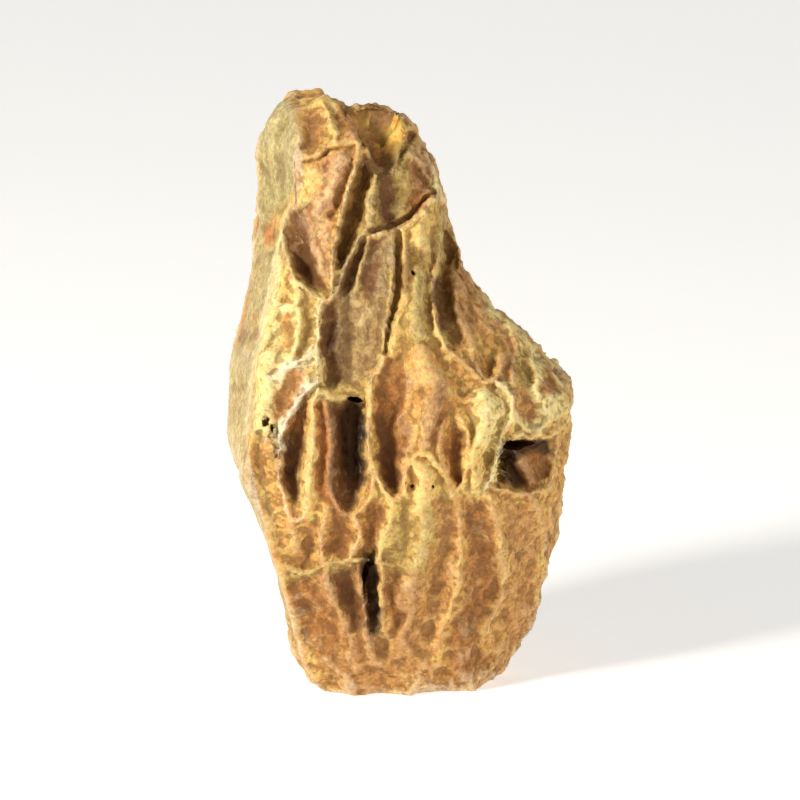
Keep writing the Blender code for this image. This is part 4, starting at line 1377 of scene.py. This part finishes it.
@dataclass
class DragonStone:
    """The stone: its block, its carving, its fine surface and its finish."""

    block: RoughBlock = field(default_factory=RoughBlock)
    carving: Carving = field(default_factory=Carving)
    relief: Relief = field(default_factory=Relief)
    back: Relief = field(
        default_factory=lambda: Relief(Side.BACK, stretch=1.25, height_share=0.75)
    )
    shape_masks: ShapeMasks = field(default_factory=ShapeMasks)
    even: float = 1.6
    fine: float = 0.8
    triangles: int = 196000
    scallop_level: float = 0.35
    broad: Scallops = Scallops("broad_scallops", 19.0, 7.0, 2.2, 6.0)
    broad_bend: Bend = Bend("broad_bend", 22.0, 5.0)
    small: Scallops = Scallops("small_scallops", 7.0, 2.2, 1.5, -8.0)
    small_bend: Bend = Bend("small_bend", 7.0, 2.0)
    crumbs: Scallops = Scallops("crumb_scallops", 2.6, 0.7, 1.2, 10.0)
    grain: Bend = Bend("grain", 1.8, 0.6, 2)
    coarse_crust: Bend = Bend("coarse_crust", 8.0, 3.0, 4)
    fine_crust: Bend = Bend("fine_crust", 3.0, 1.5, 3)
    crust_level: float = 0.3
    plain_grit: float = 0.5
    flank_spared: float = 0.8
    sharp_rounds: int = 6
    sharpness: float = 0.9
    seam_rounds: int = 45
    flank_rounds: int = 12
    flank_smoothing: float = 0.5
    fin_rounds: int = 4

    def build(self) -> Shape:
        """Model the stone, and keep the masks for its colours."""
        noise.seed_set(SEED)
        stone = self.block.build()
        tree = tree_of(stone)
        self.lay_even(stone, self.even)
        worn = weigh(stone, "worn", Survey.of(stone, tree).worn())
        scallop(stone, self.broad, self.scallop_level, worn)
        bend(stone, self.broad_bend)
        LOG.info("block bent and scalloped: %d faces", len(stone.data.polygons))
        self.carving.cut(stone, tree)
        self.lay_even(stone, self.fine)
        LOG.info("hollows cut: %d faces", len(stone.data.polygons))
        flank = weigh(stone, "flank", Survey.of(stone, tree).flank())
        modify(stone, "SMOOTH", factor=1.0, iterations=self.seam_rounds, vertex_group=flank)
        for face in (self.relief, self.back):
            face.press(stone, tree)
        self.relief.trim(stone)
        self.relief.trim_top(stone)
        self.lay_even(stone, self.fine)
        self.carving.hollow_out(stone, tree, list(self.carving.holes))
        LOG.info("main face pressed: %d faces", len(stone.data.polygons))
        self.weather(stone, tree)
        LOG.info("surface weathered")
        self.stand(stone)
        self.drop_fins(stone)
        survey = Survey.of(stone, tree)
        self.shape_masks.record(stone, survey)
        for face in (self.relief, self.back):
            face.paint(stone, survey)
        self.fit(stone)
        pick(stone)
        bpy.ops.object.shade_smooth()
        stone.name = "weathered_stone"
        return stone

    def lay_even(self, stone: Shape, size: float) -> None:
        """Lay the surface out again in even faces."""
        modify(stone, "REMESH", mode="VOXEL", voxel_size=size * MM, adaptivity=0.0)

    def weather(self, stone: Shape, tree: BVHTree) -> None:
        """Lay the small scallops, crumbs and grain over the stone, and thin its faces out."""
        survey = Survey.of(stone, tree)
        worn = weigh(stone, "worn", survey.worn())
        flank = weigh(stone, "flank", survey.flank())
        sharpen(stone, self.sharp_rounds, self.sharpness * (1.0 - survey.flank()))
        scallop(stone, self.small, self.scallop_level, worn)
        bend(stone, self.small_bend, worn)
        modify(
            stone,
            "SMOOTH",
            factor=self.flank_smoothing,
            iterations=self.flank_rounds,
            vertex_group=flank,
        )
        grit = np.full(len(survey.depth), self.plain_grit)
        for face in (self.relief, self.back):
            face.grit(survey, grit)
        rough = weigh(stone, "rough", grit * (1.0 - self.flank_spared * survey.flank()))
        for clouds in (self.coarse_crust, self.fine_crust):
            crust(stone, clouds, rough, self.crust_level)
        scallop(stone, self.crumbs, self.scallop_level, rough)
        bend(stone, self.grain, rough)
        laid = sum(len(face.vertices) - 2 for face in stone.data.polygons)
        modify(stone, "DECIMATE", ratio=min(1.0, self.triangles / laid))
        stone.vertex_groups.clear()

    def drop_fins(self, stone: Shape) -> None:
        """Delete faces that hang on the surface by one edge, which thinning out can leave."""
        mesh = bmesh.new()
        mesh.from_mesh(stone.data)
        for _ in range(self.fin_rounds):
            fins = [face for face in mesh.faces if sum(edge.is_boundary for edge in face.edges) > 1]
            bmesh.ops.delete(mesh, geom=fins, context="FACES")
        mesh.to_mesh(stone.data)
        mesh.free()

    def stand(self, stone: Shape) -> None:
        """Saw the foot off level, and drop whatever is loose."""
        pick(stone)
        bpy.ops.object.mode_set(mode="EDIT")
        bpy.ops.mesh.select_all(action="SELECT")
        bpy.ops.mesh.bisect(plane_co=(0, 0, 0), plane_no=(0, 0, 1), use_fill=True, clear_inner=True)
        bpy.ops.mesh.select_all(action="DESELECT")
        mesh = bmesh.from_edit_mesh(stone.data)
        max(mesh.verts, key=lambda vert: vert.co.z).select_set(True)
        bmesh.update_edit_mesh(stone.data)
        bpy.ops.mesh.select_linked()
        bpy.ops.mesh.select_all(action="INVERT")
        bpy.ops.mesh.delete(type="VERT")
        bpy.ops.mesh.select_all(action="SELECT")
        bpy.ops.mesh.quads_convert_to_tris()
        bpy.ops.object.mode_set(mode="OBJECT")

    def fit(self, stone: Shape) -> None:
        """Bring the stone to the solid's own box."""
        places = coordinates(stone)
        low, high = places.min(axis=0), places.max(axis=0)
        wanted_low, wanted_high = np.array(CAD_BOX[0]), np.array(CAD_BOX[1])
        move_to(stone, wanted_low + (places - low) * (wanted_high - wanted_low) / (high - low))

    def dress(self, stone: Shape) -> None:
        """Give the stone its finish and its place in the frame."""
        stone.data.materials.clear()
        stone.data.materials.append(StoneFinish().material())
        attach(stone, "root")
        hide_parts(NODE)


class Wiring:
    """Adds shader nodes to one tree and joins them up."""

    def __init__(self, tree: Tree) -> None:
        """Work on a tree."""
        self.tree = tree

    def add(self, kind: str, **settings: object) -> bpy.types.Node:
        """Add a node and set its own values."""
        node = self.tree.nodes.new(kind)
        for key, value in settings.items():
            setattr(node, key, value)
        return node

    def feed(self, socket: Socket, value: object) -> None:
        """Link a socket to another, or set it to a plain value."""
        if isinstance(value, Socket):
            self.tree.links.new(value, socket)
        else:
            socket.default_value = value

    def value(self, name: str) -> Socket:
        """A value that the mesh keeps for each vertex."""
        return self.add("ShaderNodeAttribute", attribute_name=name).outputs["Fac"]

    def tint(self, name: str) -> Socket:
        """A colour that the mesh keeps for each vertex."""
        return self.add("ShaderNodeAttribute", attribute_name=name).outputs["Color"]

    def sums(self, operation: str, first: object, second: object = 0.0) -> Socket:
        """The result of a sum with two values, kept between 0 and 1."""
        node = self.add("ShaderNodeMath", operation=operation, use_clamp=True)
        self.feed(node.inputs[0], first)
        self.feed(node.inputs[1], second)
        return node.outputs[0]

    def band(self, value: Socket, limits: Range) -> Socket:
        """A soft step from 0 at one value to 1 at another."""
        node = self.add("ShaderNodeMapRange", interpolation_type="SMOOTHSTEP")
        self.feed(node.inputs["Value"], value)
        node.inputs["From Min"].default_value, node.inputs["From Max"].default_value = limits
        return node.outputs["Result"]

    def mix(self, share: object, under: object, over: object, blend: str = "MIX") -> Socket:
        """One colour laid over another.

        Args:
            share: How strongly it is laid on.
            under: The colour below.
            over: The colour above.
            blend: Blender's name for the way they are mixed.

        Returns:
            The mixed colour.
        """
        node = self.add("ShaderNodeMix", data_type="RGBA", blend_type=blend)
        self.feed(node.inputs[0], share)
        self.feed(node.inputs[6], under)
        self.feed(node.inputs[7], over)
        return node.outputs[2]

    def between(self, mask: Socket, limits: Range) -> Socket:
        """A mask brought to the range between two values."""
        node = self.add("ShaderNodeMapRange")
        self.feed(node.inputs["Value"], mask)
        node.inputs["To Min"].default_value, node.inputs["To Max"].default_value = limits
        return node.outputs["Result"]

    def pattern(self, group: Tree, **inputs: float) -> Socket:
        """The mask of a node group that is placed with its own values."""
        node = self.add("ShaderNodeGroup", node_tree=group)
        for key, value in inputs.items():
            node.inputs[key.capitalize()].default_value = value
        return node.outputs["Mask"]


class MaskGroup(Wiring):
    """The wiring of a node group that makes a mask out of a pattern of a given size."""

    def __init__(self, name: str, **inputs: float) -> None:
        """Start the group, with its inputs and the values they have if nothing is set."""
        super().__init__(bpy.data.node_groups.new(name, "ShaderNodeTree"))
        kind = "NodeSocketFloat"
        for key, value in inputs.items():
            socket = self.tree.interface.new_socket(
                name=key.capitalize(), in_out="INPUT", socket_type=kind
            )
            socket.default_value = value
        self.tree.interface.new_socket(name="Mask", in_out="OUTPUT", socket_type=kind)
        self.given = self.add("NodeGroupInput").outputs
        self.made = self.add("NodeGroupOutput").inputs["Mask"]
        self.place = self.add("ShaderNodeTexCoord").outputs["Object"]
        self.scale = self.count("DIVIDE", 1.0 / MM, self.given["Size"])

    def count(self, operation: str, first: object, second: object = 0.0) -> Socket:
        """The result of a sum with two values."""
        node = self.add("ShaderNodeMath", operation=operation)
        self.feed(node.inputs[0], first)
        self.feed(node.inputs[1], second)
        return node.outputs[0]

    def step(self, value: Socket, **limits: object) -> Tree:
        """End the mask in a soft step, and hand the group over.

        Args:
            value: The value that the mask follows.
            **limits: Where the step starts and ends, and its values there.

        Returns:
            The finished group.
        """
        node = self.add("ShaderNodeMapRange", interpolation_type="SMOOTHSTEP")
        self.feed(node.inputs["Value"], value)
        for key, limit in limits.items():
            self.feed(node.inputs[key.replace("_", " ").title()], limit)
        self.feed(self.made, node.outputs["Result"])
        return self.tree


def cloud_group() -> Tree:
    """Soft clouds as a mask: how large they are, how much they cover, and how soft they end."""
    w = MaskGroup("clouds", size=20.0, cover=0.5, softness=0.1, warp=0.5)
    clouds = w.add("ShaderNodeTexNoise", noise_dimensions="3D")
    w.feed(clouds.inputs["Vector"], w.place)
    w.feed(clouds.inputs["Scale"], w.scale)
    w.feed(clouds.inputs["Distortion"], w.given["Warp"])
    clouds.inputs["Detail"].default_value = 7.0
    clouds.inputs["Roughness"].default_value = 0.66
    level = w.count("SUBTRACT", 1.0, w.given["Cover"])
    low = w.count("SUBTRACT", level, w.given["Softness"])
    high = w.count("ADD", level, w.given["Softness"])
    return w.step(clouds.outputs["Fac"], from_min=low, from_max=high)


def pit_group() -> Tree:
    """Small round pits as a mask: how large their cells are, and how wide each pit is."""
    w = MaskGroup("pits", size=3.0, width=0.25)
    cells = w.add("ShaderNodeTexVoronoi", feature="F1")
    w.feed(cells.inputs["Vector"], w.place)
    w.feed(cells.inputs["Scale"], w.scale)
    return w.step(cells.outputs["Distance"], from_max=w.given["Width"], to_min=1.0, to_max=0.0)


def vein_group() -> Tree:
    """Thin crooked cracks as a mask, drawn out up the stone: how far apart and how wide."""
    w = MaskGroup("veins", size=8.0, width=0.02)
    place = w.add("ShaderNodeVectorMath", operation="MULTIPLY")
    w.feed(place.inputs[0], w.place)
    place.inputs[1].default_value = (1.0, 1.0, 0.4)
    veins = w.add("ShaderNodeTexNoise", noise_dimensions="3D")
    w.feed(veins.inputs["Vector"], place.outputs["Vector"])
    w.feed(veins.inputs["Scale"], w.scale)
    veins.inputs["Detail"].default_value = 4.0
    off = w.count("ABSOLUTE", w.count("SUBTRACT", veins.outputs["Fac"], 0.5))
    return w.step(off, from_max=w.given["Width"], to_min=1.0, to_max=0.0)


@dataclass(frozen=True)
class Cloud:
    """Clouds of colour: size in mm, cover, how soft they end, their warp and their strength."""

    size: float
    cover: float
    softness: float
    warp: float
    share: float = 1.0

    def mask(self, w: Wiring, clouds: Tree) -> Socket:
        """The clouds as a mask."""
        return w.pattern(
            clouds, size=self.size, cover=self.cover, softness=self.softness, warp=self.warp
        )

    def laid(self, w: Wiring, clouds: Tree) -> Socket:
        """The clouds as a mask of their own strength."""
        return w.sums("MULTIPLY", self.mask(w, clouds), self.share)


@dataclass(frozen=True)
class StoneFinish:
    """Weathered ochre clay stone, pale on its crests, partly from wear and partly as painted
    highlight, and brown in its hollows, partly stain and partly painted shade.

    A range says where a soft step starts and ends, or between what values a mask is brought.
    """

    ochre: Colour = (0.68, 0.42, 0.14, 1.0)
    tan: Colour = (0.50, 0.28, 0.105, 1.0)
    cream: Colour = (0.90, 0.73, 0.36, 1.0)
    olive: Colour = (0.62, 0.50, 0.245, 1.0)
    umber: Colour = (0.17, 0.075, 0.026, 1.0)
    # painted shade, nearly black, for cracks and the deepest hollows
    shade_black: Colour = (0.030, 0.015, 0.008, 1.0)
    rust: Colour = (0.62, 0.25, 0.06, 1.0)
    # pale on crests: partly wear and partly painted highlight
    crest_wear_and_highlight: Colour = (0.93, 0.84, 0.62, 1.0)
    shine: float = 0.3
    roughness: Range = (0.62, 0.92)

    broad_tan: Cloud = Cloud(38.0, 0.5, 0.12, 1.0)
    small_tan: Cloud = Cloud(9.0, 0.5, 0.2, 0.6, 0.4)

    # brown in folds and hollows, broken by clouds: partly stain and partly painted shade
    hollow_cloud: Cloud = Cloud(13.0, 0.5, 0.3, 0.8)
    hollow_cloud_range: Range = (0.5, 1.0)
    deep: Range = (0.1, 0.9)
    deep_share: float = 0.55
    hollow: Range = (0.1, -0.8)
    hollow_share: float = 0.5

    flank_rust: Cloud = Cloud(24.0, 0.42, 0.1, 1.2, 0.5)
    flank_share: float = 0.9

    umber_blotch: Cloud = Cloud(18.0, 0.38, 0.06, 1.0, 0.20)
    rust_blotch: Cloud = Cloud(13.0, 0.36, 0.06, 1.0, 0.28)
    cream_blotch: Cloud = Cloud(8.0, 0.40, 0.06, 1.0, 0.25)
    shades: tuple[Cloud, ...] = (Cloud(5.0, 0.5, 0.12, 0.0, 0.4), Cloud(2.6, 0.5, 0.12, 0.0, 0.5))
    shade_colours: tuple[Colour, Colour] = ((0.33, 0.29, 0.25, 1.0), (0.64, 0.65, 0.63, 1.0))
    fine_shade: Cloud = Cloud(1.4, 0.5, 0.25, 0.0, 0.8)
    fine_colours: tuple[Colour, Colour] = ((0.34, 0.31, 0.28, 1.0), (0.64, 0.65, 0.66, 1.0))

    wear: Cloud = Cloud(4.0, 0.55, 0.2, 0.5)
    sharp: Range = (0.25, 0.9)
    sharp_range: Range = (0.5, 0.15)
    wear_range: Range = (0.15, 0.9)
    # painted shade, nearly black, in cracks and in the deepest hollows
    crack_range: Range = (0.9, 0.3)
    shade_depth: Range = (0.8, 1.0)
    shade_form: Range = (0.0, -0.9)
    shade_share: float = 0.8

    specked: Cloud = Cloud(14.0, 0.42, 0.08, 0.5)
    pit_size: float = 2.6
    speck_width: float = 0.22
    pit_width: float = 0.25
    speck_share: float = 0.55
    # umber in fine creases: partly dirt and partly painted shade
    edge: Range = (-0.1, -0.9)
    edge_share: float = 0.5

    rough: Cloud = Cloud(6.0, 0.5, 0.3, 0.5)
    flank_smooth: float = 0.5

    cracked: Cloud = Cloud(12.0, 0.44, 0.1, 0.5)
    wide_veins: Point = (9.0, 0.016)
    thin_veins: Point = (4.0, 0.022)
    thin_share: float = 0.7
    flank_spared: float = 0.7
    vein_share: float = 0.45

    lumps: Cloud = Cloud(3.0, 0.5, 0.35, 0.0, 0.6)
    grains: Cloud = Cloud(1.1, 0.5, 0.5, 0.0, 0.35)
    pit_depth: float = 0.35
    vein_depth: float = 0.5
    bump_height: float = 0.65
    bump_strength: float = 0.9

    def material(self) -> bpy.types.Material:
        """Build the material."""
        material = bpy.data.materials.new("weathered_clay_stone")
        material.use_nodes = True
        w = Wiring(material.node_tree)
        shader = material.node_tree.nodes["Principled BSDF"]
        clouds, pits = cloud_group(), pit_group()
        cracks = self.cracks(w, clouds, vein_group())
        colour = self.ground(w, clouds)
        colour = self.hollows(w, clouds, colour)
        colour = self.flank(w, clouds, colour)
        colour = w.mix(w.value("painted"), colour, w.tint("paint"))
        colour = self.mottle(w, clouds, colour)
        colour = self.crests(w, clouds, colour)
        colour = self.specks(w, clouds, pits, colour)
        colour = w.mix(w.sums("MULTIPLY", cracks, self.vein_share), colour, self.umber)
        w.feed(shader.inputs["Base Color"], colour)
        w.feed(shader.inputs["Roughness"], self.dryness(w, clouds))
        w.feed(shader.inputs["Normal"], self.grain(w, clouds, pits, cracks))
        shader.inputs["Specular IOR Level"].default_value = self.shine
        return material

    def ground(self, w: Wiring, clouds: Tree) -> Socket:
        """Ochre and tan in broad clouds."""
        colour = w.mix(self.broad_tan.mask(w, clouds), self.ochre, self.tan)
        return w.mix(self.small_tan.laid(w, clouds), colour, self.tan)

    def hollows(self, w: Wiring, clouds: Tree, colour: Socket) -> Socket:
        """Brown in folds and hollows, partly stain and partly painted shade, stronger where they
        are deeper.
        """
        deep = w.sums("MULTIPLY", w.band(w.value("depth"), self.deep), self.deep_share)
        hollow = w.sums("MULTIPLY", w.band(w.value("form"), self.hollow), self.hollow_share)
        cloud = w.between(self.hollow_cloud.mask(w, clouds), self.hollow_cloud_range)
        return w.mix(w.sums("MULTIPLY", w.sums("ADD", deep, hollow), cloud), colour, self.umber)

    def flank(self, w: Wiring, clouds: Tree, colour: Socket) -> Socket:
        """Olive grey on the smooth flank, with rusty clouds."""
        tint = w.mix(self.flank_rust.laid(w, clouds), self.olive, self.rust)
        return w.mix(w.sums("MULTIPLY", w.value("flank"), self.flank_share), colour, tint)

    def mottle(self, w: Wiring, clouds: Tree, colour: Socket) -> Socket:
        """Blotches of brown, rust and pale clay over all the colours, and fine shades."""
        for blotch, tint in (
            (self.umber_blotch, self.umber),
            (self.rust_blotch, self.rust),
            (self.cream_blotch, self.cream),
        ):
            colour = w.mix(blotch.laid(w, clouds), colour, tint)
        for shades in self.shades:
            shade = w.mix(shades.mask(w, clouds), *self.shade_colours)
            colour = w.mix(shades.share, colour, shade, "OVERLAY")
        return colour

    def crests(self, w: Wiring, clouds: Tree, colour: Socket) -> Socket:
        """Pale crests, partly worn and partly a painted highlight, and painted shade: nearly black
        in cracks and in the deepest hollows.
        """
        cloud = self.wear.mask(w, clouds)
        # pale crests: partly wear, partly a painted highlight on sharp edges
        share = w.between(w.value("painted"), self.sharp_range)
        sharp = w.sums("MULTIPLY", w.band(w.value("fold"), self.sharp), share)
        worn = w.sums("MAXIMUM", sharp, w.value("worn"))
        worn = w.sums("MULTIPLY", worn, w.between(cloud, self.wear_range))
        colour = w.mix(worn, colour, self.crest_wear_and_highlight)
        # painted shade: nearly black in the deepest hollows and in cracks
        depth = w.band(w.value("depth"), self.shade_depth)
        painted_shade_mask = w.sums("MULTIPLY", depth, w.band(w.value("form"), self.shade_form))
        crack = w.sums("MULTIPLY", w.value("crack"), w.between(cloud, self.crack_range))
        painted_shade_mask = w.sums("MAXIMUM", painted_shade_mask, crack)
        return w.mix(w.sums("MULTIPLY", painted_shade_mask, self.shade_share), colour, self.shade_black)

    def specks(self, w: Wiring, clouds: Tree, pits: Tree, colour: Socket) -> Socket:
        """Fine mottling, dark specks in the pits, and umber in fine creases, partly dirt and partly
        painted shade.
        """
        speck = w.pattern(pits, size=self.pit_size, width=self.speck_width)
        speck = w.sums("MULTIPLY", speck, self.specked.mask(w, clouds))
        colour = w.mix(w.sums("MULTIPLY", speck, self.speck_share), colour, self.umber)
        shade = w.mix(self.fine_shade.mask(w, clouds), *self.fine_colours)
        colour = w.mix(self.fine_shade.share, colour, shade, "OVERLAY")
        # fine creases darkened: partly dirt and partly painted shade
        edge = w.band(w.value("edge"), self.edge)
        return w.mix(w.sums("MULTIPLY", edge, self.edge_share), colour, self.umber)

    def dryness(self, w: Wiring, clouds: Tree) -> Socket:
        """Dry and rough, a little smoother on the flank and in the bowls."""
        smooth = w.sums("MULTIPLY", w.value("flank"), self.flank_smooth)
        rough = w.sums("SUBTRACT", self.rough.mask(w, clouds), smooth)
        return w.between(rough, self.roughness)

    def cracks(self, w: Wiring, clouds: Tree, veins: Tree) -> Socket:
        """Hairline cracks, in places, and few on the flank."""
        wide, thin = (
            w.pattern(veins, size=size, width=width)
            for size, width in (self.wide_veins, self.thin_veins)
        )
        both = w.sums("MAXIMUM", wide, w.sums("MULTIPLY", thin, self.thin_share))
        both = w.sums("MULTIPLY", both, self.cracked.mask(w, clouds))
        spared = w.sums("MULTIPLY", w.value("flank"), self.flank_spared)
        return w.sums("MULTIPLY", both, w.sums("SUBTRACT", 1.0, spared))

    def grain(self, w: Wiring, clouds: Tree, pits: Tree, cracks: Socket) -> Socket:
        """Grain, lumps, pits and cracks that are too small for the mesh."""
        pit = w.pattern(pits, size=self.pit_size, width=self.pit_width)
        height = w.sums("ADD", self.lumps.laid(w, clouds), self.grains.laid(w, clouds))
        height = w.sums("SUBTRACT", height, w.sums("MULTIPLY", pit, self.pit_depth))
        height = w.sums("SUBTRACT", height, w.sums("MULTIPLY", cracks, self.vein_depth))
        bump = w.add("ShaderNodeBump")
        bump.inputs["Strength"].default_value = self.bump_strength
        bump.inputs["Distance"].default_value = self.bump_height * MM
        w.feed(bump.inputs["Height"], height)
        return bump.outputs["Normal"]


@dataclass(frozen=True)
class SoftBox:
    """A studio lamp: where it stands, the side of its face, and its power in watts."""

    name: str
    place: tuple[float, float, float]
    side: float
    power: float
    colour: tuple[float, float, float] = (1.0, 1.0, 1.0)

    def light(self, aim: Vector) -> None:
        """Stand the lamp up, facing the stone."""
        lamp = bpy.data.lights.new(self.name, "AREA")
        lamp.size = self.side
        lamp.energy = self.power
        lamp.color = self.colour
        stand = bpy.data.objects.new(self.name, lamp)
        bpy.context.scene.collection.objects.link(stand)
        stand.location = self.place
        stand.rotation_euler = (aim - Vector(self.place)).to_track_quat("-Z", "Y").to_euler()


@dataclass
class Studio:
    """A pale floor that curves up behind the stone, soft lamps, and the camera, in metres."""

    elevation: float = 15.0
    distance: float = 2.2
    frame_width: float = 0.335
    aim: tuple[float, float, float] = (0.0, 0.0, 0.121)
    floor_colour: Colour = (0.90, 0.89, 0.87, 1.0)
    floor_glow: float = 0.52
    floor_roughness: float = 0.95
    floor_shine: float = 0.1
    floor_size: float = 6.0
    backdrop: tuple[float, float, float] = (0.0, 0.6, 3.0)
    cove: float = 0.8
    cove_steps: int = 12
    sky: Colour = (0.97, 0.98, 1.0, 1.0)
    sky_strength: float = 0.18
    lamps: tuple[SoftBox, ...] = (
        SoftBox("key_lamp", (-1.25, -0.95, 1.05), 0.32, 31.0, (1.0, 0.96, 0.88)),
        SoftBox("fill_lamp", (1.2, -1.1, 0.7), 0.8, 10.0, (1.0, 0.98, 0.95)),
    )

    def build(self) -> None:
        """Build the floor, the light and the camera."""
        self.build_floor()
        for lamp in self.lamps:
            lamp.light(Vector(self.aim))
        world = bpy.context.scene.world or bpy.data.worlds.new("studio")
        bpy.context.scene.world = world
        world.use_nodes = True
        background = world.node_tree.nodes["Background"]
        background.inputs["Color"].default_value = self.sky
        background.inputs["Strength"].default_value = self.sky_strength
        bpy.context.scene.view_settings.view_transform = "Standard"
        self.build_camera()

    def build_floor(self) -> None:
        """A wide sheet whose far edge is drawn up into a backdrop."""
        bpy.ops.object.select_all(action="DESELECT")
        bpy.ops.mesh.primitive_plane_add(size=self.floor_size, location=(0, 0, 0))
        floor = bpy.context.object
        floor.name = "studio_floor"
        bpy.ops.object.mode_set(mode="EDIT")
        bpy.ops.mesh.select_all(action="DESELECT")
        mesh = bmesh.from_edit_mesh(floor.data)
        for edge in mesh.edges:
            edge.select_set(all(vert.co.y > 0.0 for vert in edge.verts))
        bmesh.update_edit_mesh(floor.data)
        bpy.ops.mesh.extrude_region_move(TRANSFORM_OT_translate={"value": self.backdrop})
        bpy.ops.object.mode_set(mode="OBJECT")
        modify(floor, "BEVEL", width=self.cove, segments=self.cove_steps, limit_method="ANGLE")
        bpy.ops.object.shade_smooth()
        floor.data.materials.append(self.floor_material())

    def floor_material(self) -> bpy.types.Material:
        """Matt pale card."""
        material = bpy.data.materials.new("studio_card")
        material.use_nodes = True
        shader = material.node_tree.nodes["Principled BSDF"]
        shader.inputs["Base Color"].default_value = self.floor_colour
        shader.inputs["Roughness"].default_value = self.floor_roughness
        shader.inputs["Specular IOR Level"].default_value = self.floor_shine
        shader.inputs["Emission Color"].default_value = self.floor_colour
        shader.inputs["Emission Strength"].default_value = self.floor_glow
        return material

    def build_camera(self) -> None:
        """A long lens, a little above the stone and straight before its main face."""
        tilt = math.radians(self.elevation)
        back = Vector((0, -math.cos(tilt), math.sin(tilt)))
        lens = bpy.data.cameras.new("camera")
        camera = bpy.data.objects.new("camera", lens)
        bpy.context.scene.collection.objects.link(camera)
        camera.location = Vector(self.aim) + back * self.distance
        camera.rotation_euler = (math.pi / 2 - tilt, 0, 0)
        lens.lens = lens.sensor_width * self.distance / self.frame_width
        bpy.context.scene.camera = camera


def main() -> None:
    """Build the stone and the studio."""
    logging.basicConfig(level=logging.INFO, format="%(relativeCreated)d %(name)s: %(message)s")
    design = DragonStone()
    stone = design.build()
    design.dress(stone)
    LOG.info("%s: %d triangles", stone.name, len(stone.data.polygons))
    studio = Studio()
    studio.build()
    LOG.info("studio built")


if __name__ == "__main__":
    main()
